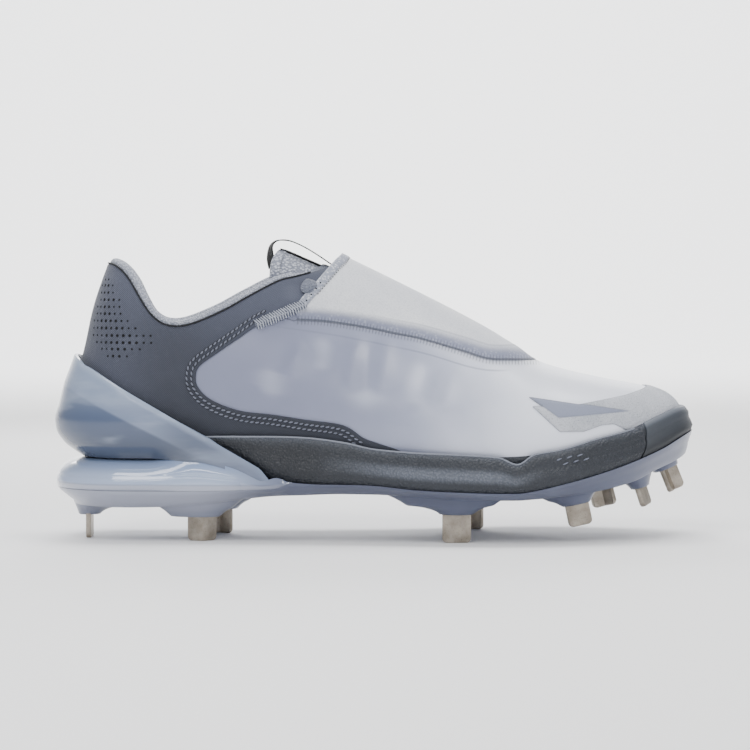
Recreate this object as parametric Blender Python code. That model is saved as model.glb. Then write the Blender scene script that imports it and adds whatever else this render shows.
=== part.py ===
# Baseball cleat for the right foot, with a covered lacing and nine metal blade studs.
# Metres: +X to the toe, +Y to the inner side, +Z up. The standing studs have their tips on z = 0.
import math

import bmesh
import bpy
import numpy as np

# Overall sizes
LENGTH = 0.300
BALL_WIDTH = 0.104
UPPER_HEIGHT = 0.084
SOLE_STACK = 0.0345
STUD_REACH = 0.0125
HEEL_ROUND = 0.037
TOE_ROUND = 0.073
TOE_POWER = 2.45

# Walls, and how far the last stands inside the sole's outline
GAP = 0.0003
SIDE_WALL = 0.0055
HEEL_INSET = 0.007
TOE_INSET = 0.006
FEATHER_TUCK = 0.004
UPPER_WALL = 0.002
PANEL_WALL = 0.0009
COVER_WALL = 0.0010
OVERLAY_WALL = 0.0005
LINING_WALL = 0.0047
LINING_RISE = 0.0034
LINING_DEPTH = 0.024
LINING_FRONT = 0.368
TONGUE_WALL = 0.0045
LACE_ROOM = 0.0057
LACE_THICKNESS = 0.0013
LACE_WIDTH = 0.0042
LOOP_THICKNESS = 0.0011
LOOP_WIDTH = 0.011
INSOLE_THICKNESS = 0.004
CLIP_FLOOR = 0.003
AIR_GROOVE = 0.0005
AIR_END = 0.330
AIR_NOSE = 0.045
STUD_WIDTH = 0.0132
STUD_THICKNESS = 0.0024
STUD_CORNER = 0.0022
BOSS_FLARE = 0.0045

# How finely the curves are cut
HEEL_STEPS, SIDE_STEPS, TOE_STEPS, NOSE_STEPS = 6, 14, 8, 3
LOWER_ROWS, UPPER_ROWS = 2, 9
FAR = 0.12


def table(columns, *rows):
    """Rows of numbers as named columns."""
    return {name: np.array(values) for name, values in zip(columns.split(), zip(*rows))}


# Plan of the sole, as shares of LENGTH and BALL_WIDTH: the centre line at the round ends, and each edge
PLAN = table(
    "share centre outer inner",
    (0.00, -0.020, -0.365, 0.325),
    (0.12, -0.020, -0.375, 0.335),
    (0.25, -0.025, -0.385, 0.332),
    (0.40, -0.035, -0.405, 0.322),
    (0.50, -0.035, -0.438, 0.337),
    (0.60, -0.025, -0.487, 0.400),
    (0.66, -0.010, -0.500, 0.452),
    (0.72, 0.010, -0.496, 0.490),
    (0.78, 0.040, -0.468, 0.500),
    (0.86, 0.067, -0.415, 0.482),
    (1.00, 0.085, -0.325, 0.425),
)

# Heights along the sole, as shares of SOLE_STACK above the stud datum
SOLE = table(
    "share floor side foam plate under",
    (0.000, 1.000, 1.052, 0.855, 0.340, 0.110),
    (0.120, 1.000, 1.052, 0.855, 0.340, 0.105),
    (0.220, 0.980, 1.052, 0.855, 0.340, 0.130),
    (0.280, 0.942, 1.058, 0.740, 0.350, 0.195),
    (0.344, 0.884, 1.058, 0.507, 0.370, 0.260),
    (0.390, 0.826, 1.046, 0.455, 0.500, 0.275),
    (0.450, 0.754, 0.986, 0.432, 0.500, 0.293),
    (0.500, 0.710, 0.896, 0.409, 0.500, 0.290),
    (0.560, 0.652, 0.855, 0.360, 0.500, 0.270),
    (0.620, 0.594, 0.835, 0.335, 0.500, 0.235),
    (0.685, 0.565, 0.800, 0.320, 0.500, 0.225),
    (0.715, 0.554, 0.707, 0.318, 0.500, 0.225),
    (0.742, 0.560, 0.841, 0.342, 0.500, 0.240),
    (0.780, 0.586, 0.893, 0.400, 0.500, 0.265),
    (0.842, 0.681, 1.032, 0.536, 0.600, 0.328),
    (0.900, 0.812, 1.145, 0.696, 0.750, 0.435),
    (0.943, 0.942, 1.290, 0.841, 0.900, 0.590),
    (0.985, 1.116, 1.406, 1.014, 1.100, 0.725),
    (1.000, 1.160, 1.420, 1.058, 1.150, 0.790),
)

# The last: level of its greatest width, ridge height and ridge side step, and how full its section is
LAST = table(
    "share wide top ridge full",
    (0.000, 0.200, 1.190, 0.000, 2.2),
    (0.120, 0.200, 1.190, 0.000, 2.2),
    (0.250, 0.180, 1.180, 0.015, 2.3),
    (0.300, 0.165, 1.165, 0.030, 2.3),
    (0.350, 0.150, 1.131, 0.040, 2.2),
    (0.390, 0.140, 1.079, 0.048, 2.1),
    (0.438, 0.125, 1.009, 0.055, 2.0),
    (0.559, 0.080, 0.808, 0.060, 1.85),
    (0.671, 0.020, 0.603, 0.050, 1.9),
    (0.718, 0.010, 0.502, 0.045, 2.0),
    (0.766, 0.015, 0.412, 0.040, 2.1),
    (0.870, 0.040, 0.326, 0.020, 2.4),
    (0.938, 0.080, 0.284, 0.010, 2.4),
    (0.970, 0.100, 0.250, 0.005, 2.4),
    (0.993, 0.115, 0.192, 0.000, 2.4),
    (1.000, 0.110, 0.140, 0.000, 2.4),
)

# Rear outline of the last: how far it leans to the toe at each height, both as shares of UPPER_HEIGHT
LEAN = table(
    "share forward",
    (-0.300, 0.090),
    (-0.200, 0.071),
    (-0.020, 0.018),
    (0.120, 0.000),
    (0.333, 0.043),
    (0.476, 0.089),
    (0.720, 0.144),
    (1.000, 0.240),
    (1.300, 0.350),
)

# Side wall of the foam from its lower edge up, and inset of its face as shares of SIDE_WALL
SIDE = table(
    "share step heel",
    (0.00, 0.28, 1.95),
    (0.12, 0.12, 1.65),
    (0.30, 0.00, 1.30),
    (0.50, 0.18, 1.10),
    (0.58, 0.30, 1.00),
    (0.80, 0.35, 0.90),
    (1.00, 0.70, 0.80),
)

# Heel clip from its lower edge up, and inset of its face at the rear and at the sides
CLIP = table(
    "share rear side",
    (0.00, 0.0130, 0.0090),
    (0.06, 0.0085, 0.0060),
    (0.13, 0.0042, 0.0030),
    (0.25, 0.0006, 0.0006),
    (0.35, 0.0000, 0.0000),
    (0.50, 0.0020, 0.0006),
    (0.68, 0.0042, 0.0016),
    (0.86, 0.0075, 0.0024),
    (1.00, 0.0100, 0.0030),
)
CLIP_TOP = 0.49

# Air unit from its lower edge up, and plate from its upper edge down
AIR = table(
    "share inset",
    (0.00, 0.0012),
    (0.18, 0.0006),
    (0.38, 0.0009),
    (0.60, 0.0024),
    (0.80, 0.0052),
    (0.93, 0.0088),
    (1.00, 0.0120),
)
PLATE = table(
    "share heel toe side",
    (1.00, 0.0098, 0.0030, 0.0085),
    (0.80, 0.0085, 0.0024, 0.0060),
    (0.50, 0.0055, 0.0018, 0.0034),
    (0.20, 0.0026, 0.0011, 0.0016),
    (0.00, 0.0012, 0.0007, 0.0012),
)

# Outlines in side view, as shares of LENGTH from the heel and of UPPER_HEIGHT above the footbed.
# The collar's edge is given on the outer side, and a skew drops its inner side nearer the heel.
COLLAR_SKEW = -0.08
COLLAR_SIDE = -0.027
COLLAR = table(
    "along up",
    (-0.030, 0.965),
    (0.060, 0.975),
    (0.090, 0.970),
    (0.108, 0.944),
    (0.125, 0.877),
    (0.142, 0.767),
    (0.158, 0.683),
    (0.181, 0.630),
    (0.214, 0.632),
    (0.264, 0.703),
    (0.307, 0.787),
    (0.352, 0.869),
    (0.380, 0.893),
    (0.425, 0.935),
)
PANEL_EDGE = table(
    "along up",
    (0.392, 0.930),
    (0.388, 0.823),
    (0.376, 0.735),
    (0.328, 0.633),
    (0.294, 0.562),
    (0.256, 0.469),
    (0.233, 0.409),
    (0.227, 0.360),
    (0.230, 0.295),
    (0.251, 0.224),
    (0.294, 0.166),
    (0.345, 0.144),
    (0.395, 0.117),
    (0.452, 0.088),
    (0.483, 0.019),
    (0.509, -0.014),
    (0.544, -0.060),
    (0.560, -0.150),
)
COVER_REAR = table(
    "along up",
    (0.460, 1.200),
    (0.449, 1.030),
    (0.434, 0.964),
    (0.409, 0.860),
    (0.381, 0.740),
    (0.382, 0.659),
)
COVER_EDGE = table(
    "along up",
    (0.382, 0.659),
    (0.414, 0.654),
    (0.446, 0.640),
    (0.489, 0.615),
    (0.532, 0.583),
    (0.570, 0.555),
    (0.632, 0.490),
    (0.672, 0.446),
    (0.712, 0.438),
    (0.760, 0.428),
    (0.790, 0.385),
)
TOE_EDGE = table(
    "along up",
    (0.925, 0.340),
    (0.921, 0.275),
    (0.885, 0.241),
    (0.812, 0.202),
    (0.735, 0.194),
    (0.780, 0.054),
    (0.817, 0.054),
    (0.845, 0.086),
    (0.865, 0.091),
    (0.889, 0.050),
    (0.897, -0.060),
    (0.910, -0.250),
)
CLIP_EDGE = table(
    "along up",
    (0.020, 0.500),
    (0.043, 0.437),
    (0.051, 0.414),
    (0.068, 0.386),
    (0.129, 0.257),
)
CLIP_TAIL = table("along up", (0.129, 0.257), (0.246, 0.015), (0.325, -0.148), (0.350, -0.260))
BUMPER_SEAM = table(
    "along up",
    (0.921, 0.200),
    (0.920, 0.072),
    (0.916, -0.032),
    (0.909, -0.078),
    (0.890, -0.250),
)
TONGUE_END = table(
    "along up",
    (0.340, 0.60),
    (0.341, 0.86),
    (0.344, 0.98),
    (0.357, 1.040),
    (0.372, 1.10),
)
TONGUE_FRONT = 0.70
LACE_LOW, LACE_HIGH = (0.386, 0.800), (0.436, 0.985)
LOOP_ROUTE = table(
    "along up",
    (0.3405, 0.945),
    (0.3365, 1.000),
    (0.3370, 1.060),
    (0.3440, 1.092),
    (0.3560, 1.100),
    (0.3700, 1.092),
    (0.3900, 1.060),
    (0.4130, 1.010),
    (0.4400, 0.944),
    (0.4600, 0.900),
)

# Throat opening under the lace cover: how far it reaches from the ridge to the last's side
THROAT = table(
    "share reach",
    (0.320, 0.62),
    (0.385, 0.62),
    (0.440, 0.52),
    (0.500, 0.42),
    (0.600, 0.28),
    (0.660, 0.20),
    (0.690, 0.10),
)

THROAT_FLOOR = 0.3

# Studs: place of the tip, height of the tip and of the blade as shares of STUD_REACH, width as a share of
# STUD_WIDTH, heading and bend of the blade and tilt to the toe in degrees
STUDS = table(
    "number along across tip blade width turn bend tilt",
    (1, 0.053, -0.020, 0.00, 0.82, 1.00, 90, 0, 0),
    (2, 0.234, -0.215, 0.00, 0.86, 1.12, 8, 34, 0),
    (3, 0.253, 0.185, 0.00, 0.86, 1.12, 172, 34, 0),
    (4, 0.625, -0.300, 0.00, 0.99, 1.00, 0, 0, 0),
    (5, 0.653, 0.370, 0.00, 0.99, 1.12, 180, 34, 0),
    (6, 0.817, -0.250, 0.60, 0.76, 0.84, 8, 0, 12),
    (7, 0.872, 0.330, 0.93, 0.72, 1.00, 170, 34, 14),
    (8, 0.923, -0.090, 1.24, 0.66, 0.80, 65, 0, 18),
    (9, 0.975, 0.150, 1.66, 0.82, 0.90, 215, 34, 22),
)

# Bosses of the plate: reach of the face and of the web behind and ahead of the stud, and of the root beyond
# the web, as shares of STUD_WIDTH
BOSSES = table(
    "number face_back face_front web_back web_front root",
    (1, 0.40, 0.42, 0.50, 1.55, 0.20),
    (2, 1.15, 0.66, 1.50, 1.10, 0.60),
    (3, 1.10, 0.66, 1.40, 1.10, 0.50),
    (4, 0.62, 0.62, 1.75, 1.30, 0.80),
    (5, 0.62, 0.70, 1.40, 1.75, 0.50),
    (6, 0.56, 0.52, 0.95, 0.72, 0.70),
    (7, 0.60, 0.56, 0.85, 0.75, 0.50),
    (8, 0.36, 0.34, 0.55, 0.50, 0.40),
    (9, 0.46, 0.50, 0.60, 0.55, 0.30),
)


def tangents(keys, values):
    """Slopes of a curve through the rows that never overshoots them."""
    slopes = np.diff(values) / np.diff(keys)
    before, after = slopes[:-1], slopes[1:]
    level = before * after <= 0
    inner = np.where(level, 0.0, 2 * before * after / np.where(level, 1.0, before + after))
    return np.concatenate([slopes[:1], inner, slopes[-1:]])


def read(rows, column, at, key="share"):
    """A column's value at a share, on a smooth curve through the table's rows."""
    keys, values = rows[key], rows[column]
    at = float(np.clip(at, keys[0], keys[-1]))
    i = int(np.clip(np.searchsorted(keys, at) - 1, 0, len(keys) - 2))
    step = keys[i + 1] - keys[i]
    t = (at - keys[i]) / step
    slopes = tangents(keys, values)
    rise = values[i] * (1 + 2 * t) * (1 - t) ** 2 + values[i + 1] * t * t * (3 - 2 * t)
    return rise + step * t * (1 - t) * ((1 - t) * slopes[i] - t * slopes[i + 1])


def sole_level(share):
    return STUD_REACH + share * SOLE_STACK


def upper_level(share):
    return sole_level(1) + share * UPPER_HEIGHT


def height(column, share):
    return sole_level(read(SOLE, column, share))


def plate_top(share):
    return min(height("plate", share), height("foam", share) - GAP)


def clip_base(share):
    return height("foam", share) - GAP - CLIP_FLOOR


def stations():
    """Columns from heel to toe: share of LENGTH, roundness, and how far an inset pulls to the toe."""
    heel, toe = HEEL_ROUND / LENGTH, TOE_ROUND / LENGTH
    columns = []
    for i in range(HEEL_STEPS):
        turn = math.pi / 2 * i / HEEL_STEPS
        columns.append((heel * (1 - math.cos(turn)), math.sin(turn), math.cos(turn)))
    for i in range(SIDE_STEPS):
        columns.append((heel + (1 - heel - toe) * i / SIDE_STEPS, 1.0, 0.0))
    for i in range(TOE_STEPS + 1):
        reach = math.cos(math.pi / 2 * (1 - i / TOE_STEPS))
        columns.append((1 - toe * (1 - reach), (1 - reach**TOE_POWER) ** (1 / TOE_POWER), -reach))
    return columns


COLUMNS = stations()
COUNT = len(COLUMNS)


def plan_y(share, roundness, side, inset):
    centre = read(PLAN, "centre", share) * BALL_WIDTH
    edge = read(PLAN, side, share) * BALL_WIDTH
    return centre + (edge - math.copysign(inset, edge) - centre) * roundness


def ring(level, inset, end_inset=None, columns=COLUMNS):
    """Closed loop round the sole: the outer side from heel to toe, then the inner side back."""
    ends = inset if end_inset is None else end_inset
    points = []
    for side in ("outer", "inner"):
        for share, roundness, pull in columns:
            side_inset = inset(share) if callable(inset) else inset
            end = ends(share) if callable(ends) else ends
            x = LENGTH * (share - 0.5) + pull * end
            points.append((x, plan_y(share, roundness, side, side_inset), level(share)))
    count = len(columns)
    return points[:count] + points[count + 1 : 2 * count - 1][::-1]


def last_point(column, side, row):
    """Point of the last's surface; rows run from the feather edge over the greatest width to the ridge."""
    share, roundness, pull = column
    inset = HEEL_INSET if pull > 0 else TOE_INSET
    floor, wide = height("floor", share), upper_level(read(LAST, "wide", share))
    top, full = upper_level(read(LAST, "top", share)), read(LAST, "full", share)
    edge = plan_y(share, roundness, side, SIDE_WALL)
    if row < LOWER_ROWS:
        rise = row / LOWER_ROWS
        tuck = plan_y(share, roundness, side, SIDE_WALL + FEATHER_TUCK)
        y, z = edge + (tuck - edge) * (1 - rise) ** 2, floor + (wide - floor) * rise
    else:
        turn = math.pi / 2 * (row - LOWER_ROWS) / UPPER_ROWS
        middle = (read(PLAN, "centre", share) + read(LAST, "ridge", share) * roundness) * BALL_WIDTH
        y = middle + (edge - middle) * max(math.cos(turn), 0) ** (2 / full)
        z = wide + (top - wide) * math.sin(turn) ** (2 / full)
    lean = read(LEAN, "forward", (z - sole_level(1)) / UPPER_HEIGHT) * UPPER_HEIGHT * (1 - share) ** 4
    return LENGTH * (share - 0.5) + pull * inset + lean, y, z


ROWS = LOWER_ROWS + UPPER_ROWS + 1


def last_normals(points):
    """Unit normals of the last at its lattice points, taken from its own mesh."""
    mesh = bmesh.new()
    for side in range(2):
        grid = [[mesh.verts.new(points[side, i, j]) for j in range(ROWS)] for i in range(COUNT)]
        for i in range(COUNT - 1):
            for j in range(ROWS - 1):
                corners = [grid[i][j], grid[i + 1][j], grid[i + 1][j + 1], grid[i][j + 1]]
                mesh.faces.new(corners if side == 0 else corners[::-1])
    bmesh.ops.remove_doubles(mesh, verts=mesh.verts, dist=1e-6)
    bmesh.ops.dissolve_degenerate(mesh, edges=mesh.edges, dist=1e-7)
    mesh.normal_update()
    found = {tuple(round(c, 5) for c in v.co): np.array(v.normal) for v in mesh.verts}
    mesh.free()
    normals = np.zeros_like(points)
    for index in np.ndindex(2, COUNT, ROWS):
        spot = tuple(round(float(c), 5) for c in np.float32(points[index]))
        normals[index] = found[min(found, key=lambda key: math.dist(key, spot))]
    return normals


LAST_POINTS = np.array(
    [[[last_point(c, side, row) for row in range(ROWS)] for c in COLUMNS] for side in ("outer", "inner")]
)
LAST_NORMALS = last_normals(LAST_POINTS)


def surface(offset, lift=GAP):
    """The last's lattice moved out by an offset, with its feather edge at a lift over the footbed."""
    points = LAST_POINTS + LAST_NORMALS * offset
    points[:, :, 0, 2] = LAST_POINTS[:, :, 0, 2] + lift
    return points


def material(name, color, roughness, metallic=0.0):
    finish = bpy.data.materials.new(name)
    finish.use_nodes = True
    shader = finish.node_tree.nodes["Principled BSDF"]
    shader.inputs["Base Color"].default_value = (*color, 1)
    shader.inputs["Roughness"].default_value = roughness
    shader.inputs["Metallic"].default_value = metallic
    return finish


def add_object(name, faces, finish=None):
    """Object from faces given as lists of corner points; corners that meet are joined."""
    mesh = bmesh.new()
    verts = {}
    for face in faces:
        corners = []
        for point in face:
            key = tuple(round(float(c), 7) for c in point)
            if key not in verts:
                verts[key] = mesh.verts.new(key)
            if verts[key] not in corners:
                corners.append(verts[key])
        if len(corners) > 2:
            mesh.faces.new(corners)
    bmesh.ops.triangulate(mesh, faces=[f for f in mesh.faces if len(f.verts) == 4])
    bmesh.ops.recalc_face_normals(mesh, faces=mesh.faces)
    data = bpy.data.meshes.new(name)
    mesh.to_mesh(data)
    mesh.free()
    if finish:
        data.materials.append(finish)
        data.shade_smooth()
        data.set_sharp_from_angle(angle=math.radians(40))
    obj = bpy.data.objects.new(name, data)
    bpy.context.scene.collection.objects.link(obj)
    return obj


def grid_faces(lattice):
    """Four-sided faces between the rows of a lattice of points."""
    for first, second in zip(lattice[:-1], lattice[1:]):
        for i in range(len(first) - 1):
            yield [first[i], first[i + 1], second[i + 1], second[i]]


def ladder(loop):
    """Faces across a closed loop, from its outer side to its inner side."""
    half = len(loop) // 2
    outer = loop[: half + 1]
    inner = [loop[-i % len(loop)] for i in range(half + 1)]
    return grid_faces([outer, inner])


def ring_solid(name, rings, finish=None):
    """Solid between stacked loops, closed across its first and its last loop."""
    walls = grid_faces([list(loop) + [loop[0]] for loop in rings])
    return add_object(name, [*ladder(rings[0]), *walls, *ladder(rings[-1])], finish)


def slab(name, low, high, finish=None):
    """Solid between two lattices of the same shape."""
    faces = [*grid_faces(low), *grid_faces(high)]
    for cut in (np.s_[0, :], np.s_[-1, :], np.s_[:, 0], np.s_[:, -1]):
        faces += grid_faces([low[cut], high[cut]])
    return add_object(name, faces, finish)


def around_heel(offset, rows):
    """Lattice round the heel up to the toe's round end, from the inner side to the outer side."""
    points = surface(offset)
    reach = HEEL_STEPS + SIDE_STEPS
    return np.concatenate([points[1, 1:reach, rows][::-1], points[0, :reach, rows]])


def over_ridge(offset, first_row):
    """Lattice over the ridge from the outer side to the inner side, just short of the heel and the toe."""
    points = surface(offset)
    outer, inner = points[0, 1:-1, first_row:], points[1, 1:-1, first_row:-1]
    return np.concatenate([outer, inner[:, ::-1]], axis=1)


def full_shell(name, low, high, finish=None):
    """Shell all over the last, open underneath."""
    faces = []
    for side in range(2):
        inside, outside = surface(low)[side], surface(high)[side]
        faces += [*grid_faces(inside), *grid_faces(outside)]
        faces += grid_faces([inside[:, 0], outside[:, 0]])
    return add_object(name, faces, finish)


def last_form(name, offset):
    """The last as a closed form, down to the footbed."""
    points = surface(offset, lift=0)
    feather = [*points[0, :, 0], *points[1, 1:-1, 0][::-1]]
    faces = [*grid_faces(points[0]), *grid_faces(points[1]), *ladder(feather)]
    return add_object(name, faces)


def side_point(along, up):
    return LENGTH * (along - 0.5), upper_level(up)


def curve(rows, steps=4):
    """Points of an outline on a smooth curve through its rows."""
    spots = np.array([side_point(*row) for row in zip(rows["along"], rows["up"])])
    padded = np.vstack([2 * spots[0] - spots[1], spots, 2 * spots[-1] - spots[-2]])
    found = []
    for a, b, c, d in zip(padded, padded[1:], padded[2:], padded[3:]):
        for step in range(steps):
            t = step / steps
            bend = (2 * a - 5 * b + 4 * c - d) * t**2 + (3 * (b - c) + d - a) * t**3
            found.append(b + ((c - a) * t + bend) / 2)
    return [tuple(point) for point in found] + [tuple(spots[-1])]


def straight(rows):
    return [side_point(*row) for row in zip(rows["along"], rows["up"])]


def cutter(name, near, far):
    """Solid between two outlines of the same count."""
    walls = [[near[i - 1], near[i], far[i], far[i - 1]] for i in range(len(near))]
    return add_object(name, [near, far, *walls])


def prism(name, outline, skew=0.0, middle=0.0):
    """Cutter from an outline in side view, run across the shoe; a skew leans it about a middle."""
    ends = [[(x + skew * (y - middle), y, z) for x, z in outline] for y in (-FAR, FAR)]
    return cutter(name, *ends)


def boolean(obj, other, operation):
    other.hide_render = True
    other.display_type = "WIRE"
    step = obj.modifiers.new(other.name, "BOOLEAN")
    step.operation = operation
    step.solver = "EXACT"
    step.object = other
    return obj


def clear_scene():
    for obj in list(bpy.data.objects):
        bpy.data.objects.remove(obj, do_unlink=True)


def collar_space():
    """Cutter for the space above the collar's edge."""
    edge = curve(COLLAR, 3)
    top, back = upper_level(2), edge[0][0] - FAR
    outline = edge + [(edge[-1][0], top), (back, top), (back, edge[0][1])]
    return prism("collar_space", outline, COLLAR_SKEW, COLLAR_SIDE)


def throat_space():
    """Upright cutter for the opening under the lace cover."""
    sides = {"inner": [], "outer": []}
    for share in np.linspace(THROAT["share"][0], THROAT["share"][-1], 9):
        middle = (read(PLAN, "centre", share) + read(LAST, "ridge", share)) * BALL_WIDTH
        reach = read(THROAT, "reach", share)
        for side, points in sides.items():
            edge = plan_y(share, 1, side, SIDE_WALL)
            points.append((LENGTH * (share - 0.5), middle + (edge - middle) * reach))
    outline = sides["inner"] + sides["outer"][::-1]
    low, high = upper_level(THROAT_FLOOR), upper_level(2)
    return cutter("throat_space", *([(x, y, z) for x, y in outline] for z in (low, high)))


def build_upper(finishes, collar):
    upper = full_shell("upper", -UPPER_WALL, 0, finishes["film"])
    boolean(upper, collar, "DIFFERENCE")
    boolean(upper, throat_space(), "DIFFERENCE")


def build_overlays(finishes, collar):
    """Panel, lace cover and toe overlay: shells just outside the upper, cut to their outlines."""
    rows = slice(0, ROWS - 1)
    panel = slab(
        "quarter_panel",
        around_heel(GAP, rows),
        around_heel(GAP + PANEL_WALL, rows),
        finishes["twill"],
    )
    edge = curve(PANEL_EDGE, 2)
    back = -LENGTH
    outline = edge + [(back, edge[-1][1]), (back, upper_level(2)), (edge[0][0], upper_level(2))]
    boolean(panel, prism("panel_outline", outline), "INTERSECT")
    boolean(panel, collar, "DIFFERENCE")

    cover = slab(
        "lace_cover",
        over_ridge(GAP, LOWER_ROWS + 2),
        over_ridge(GAP + COVER_WALL, LOWER_ROWS + 2),
        finishes["cover"],
    )
    lower, rear = curve(COVER_EDGE, 2), curve(COVER_REAR, 2)
    outline = lower + [(lower[-1][0], rear[0][1])] + rear[:-1]
    boolean(cover, prism("cover_outline", outline), "INTERSECT")

    overlay = full_shell("toe_overlay", GAP, GAP + OVERLAY_WALL, finishes["grit"])
    edge = straight(TOE_EDGE)
    outline = edge + [(LENGTH, edge[-1][1]), (LENGTH, edge[0][1])]
    boolean(overlay, prism("toe_outline", outline), "INTERSECT")


def build_lining(finishes):
    """Padded roll inside the collar, standing a little above its edge."""
    depth = UPPER_WALL + GAP
    rows = slice(LOWER_ROWS, ROWS - 1)
    lining = slab(
        "collar_lining",
        around_heel(-depth - LINING_WALL, rows),
        around_heel(-depth, rows),
        finishes["knit"],
    )
    edge = [(x, z + LINING_RISE) for x, z in curve(COLLAR, 3) if x < LENGTH * (LINING_FRONT - 0.5)]
    lower = [(x, z - LINING_DEPTH) for x, z in edge]
    outline = edge + lower[::-1]
    boolean(lining, prism("lining_outline", outline, COLLAR_SKEW, COLLAR_SIDE), "INTERSECT")


def build_tongue(finishes):
    """Tongue under the laces, the lace crossing on it, and the pull loop at its end."""
    outside = UPPER_WALL + LACE_ROOM + GAP
    first_row = LOWER_ROWS + 5
    tongue = slab(
        "tongue",
        over_ridge(-outside - TONGUE_WALL, first_row),
        over_ridge(-outside, first_row),
        finishes["knit"],
    )
    end = curve(TONGUE_END, 2)
    front, low = side_point(TONGUE_FRONT, 0)
    outline = end + [(front, end[-1][1]), (front, low), (end[0][0], low)]
    boolean(tongue, prism("tongue_outline", outline), "INTERSECT")

    lace = slab(
        "lace_bar",
        over_ridge(-outside + GAP, first_row - 1),
        over_ridge(-outside + GAP + LACE_THICKNESS, first_row - 1),
        finishes["lace"],
    )
    low, high = np.array(side_point(*LACE_LOW)), np.array(side_point(*LACE_HIGH))
    across = np.array([low[1] - high[1], high[0] - low[0]]) / math.dist(low, high) * LACE_WIDTH / 2
    outline = [tuple(point) for point in (low - across, high - across, high + across, low + across)]
    boolean(lace, prism("lace_outline", outline), "INTERSECT")

    path = np.array(curve(LOOP_ROUTE, 2))
    along = np.gradient(path, axis=0)
    across = np.stack([-along[:, 1], along[:, 0]], axis=1) / np.linalg.norm(along, axis=1)[:, None]
    spot = LOOP_ROUTE["along"][0]
    middle = (read(PLAN, "centre", spot) + read(LAST, "ridge", spot)) * BALL_WIDTH

    def face(step):
        edge = path + across * step
        return np.array([[(x, middle + side * LOOP_WIDTH / 2, z) for side in (-1, 1)] for x, z in edge])

    slab("pull_loop", face(-LOOP_THICKNESS / 2), face(LOOP_THICKNESS / 2), finishes["webbing"])


def build_insole(finishes):
    points = surface(-UPPER_WALL - 2 * GAP)
    loops = []
    for lift in (GAP, GAP + INSOLE_THICKNESS):
        feather = [*points[0, :, 0], *points[1, 1:-1, 0][::-1]]
        loops.append([(x, y, z - GAP + lift) for x, y, z in feather])
    ring_solid("insole", loops, finishes["knit"])


def foam_rings(grow):
    """Loops of the foam's side from its lower edge up, grown on every side by a clearance."""
    loops = []
    for step in range(len(SIDE["share"])):
        rise, side, heel = (SIDE[name][step] for name in ("share", "step", "heel"))

        def inset(share, side=side, heel=heel):
            blend = float(np.clip((share - 0.22) / 0.20, 0, 1))
            return SIDE_WALL * (heel + (side - heel) * blend * blend * (3 - 2 * blend)) - grow

        def level(share, rise=rise):
            low, high = height("foam", share) - grow, height("side", share) + grow
            return low + (high - low) * rise

        loops.append(ring(level, inset))
    return loops


def build_foam(finishes):
    """Foam cup and its toe bumper: one block round the last, parted at the bumper's seam."""
    room = last_form("upper_room", PANEL_WALL + 2 * GAP)
    seam = curve(BUMPER_SEAM, 2)
    for name, reach, shift in (("midsole", -LENGTH, -GAP / 2), ("toe_bumper", LENGTH, GAP / 2)):
        block = ring_solid(name, foam_rings(0), finishes[name])
        edge = [(x + shift, z) for x, z in seam]
        outline = edge + [(reach, edge[-1][1]), (reach, edge[0][1])]
        boolean(block, room, "DIFFERENCE")
        boolean(block, prism(name + "_side", outline), "INTERSECT")


def build_clip(finishes):
    """Moulded cup round the heel, with a floor under the foam."""
    loops = []
    for rise, rear, side in zip(CLIP["share"], CLIP["rear"], CLIP["side"]):

        def level(share, rise=rise):
            return clip_base(share) + (upper_level(CLIP_TOP) - clip_base(share)) * rise

        loops.append(ring(level, side, rear))
    clip = ring_solid("heel_clip", loops, finishes["clip"])
    boolean(clip, bpy.data.objects["upper_room"], "DIFFERENCE")
    boolean(clip, ring_solid("foam_room", foam_rings(GAP)), "DIFFERENCE")
    edge = curve(CLIP_EDGE, 2)[:-1] + straight(CLIP_TAIL)
    outline = edge + [(-LENGTH, edge[-1][1]), (-LENGTH, edge[0][1])]
    boolean(clip, prism("clip_outline", outline), "INTERSECT")


def build_air_unit(finishes):
    """Air unit between the plate and the clip's floor, with a rounded front end."""
    columns = [column for column in COLUMNS if column[0] < AIR_END - AIR_NOSE]
    for turn in np.linspace(0, math.pi / 2, NOSE_STEPS + 1):
        columns.append((AIR_END - AIR_NOSE * (1 - math.sin(turn)), math.cos(turn), 0.0))
    loops = []
    for rise, inset in zip(AIR["share"], AIR["inset"]):

        def level(share, rise=rise):
            low, high = plate_top(share) + GAP, clip_base(share) - AIR_GROOVE
            return low + (high - low) * rise

        loops.append(ring(level, inset, columns=columns))
    ring_solid("air_unit", loops, finishes["air"])


def build_plate(finishes):
    loops = []
    for drop, heel, toe, side in zip(*(PLATE[name] for name in ("share", "heel", "toe", "side"))):

        def level(share, drop=drop):
            return plate_top(share) + (height("under", share) - plate_top(share)) * drop

        def end(share, heel=heel, toe=toe):
            return heel if share < 0.5 else toe

        loops.append(ring(level, side, end))
    return ring_solid("plate", loops, finishes["plate"])


def stud_lattice(width, bend, base, shift):
    """One face of a blade, rounded at its lower corners and bent about its middle."""
    half, turn = width / 2, math.radians(bend)
    arc = [half - STUD_CORNER * (1 - math.sin(a)) for a in np.linspace(0, math.pi / 2, 4)]
    along = [-w for w in arc[::-1]] + [0] + arc
    points = []
    for w in along:
        over = max(abs(w) - half + STUD_CORNER, 0) / STUD_CORNER
        lift = STUD_CORNER * (1 - math.sqrt(max(1 - over * over, 0)))
        side = math.copysign(1, w) if w else 0
        normal = (-side * math.sin(turn), math.cos(turn)) if side else (0, 1 / math.cos(turn))
        spot = (w * math.cos(turn) + normal[0] * shift, abs(w) * math.sin(turn) + normal[1] * shift)
        points.append([(*spot, lift), (*spot, base)])
    return np.array(points)


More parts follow.
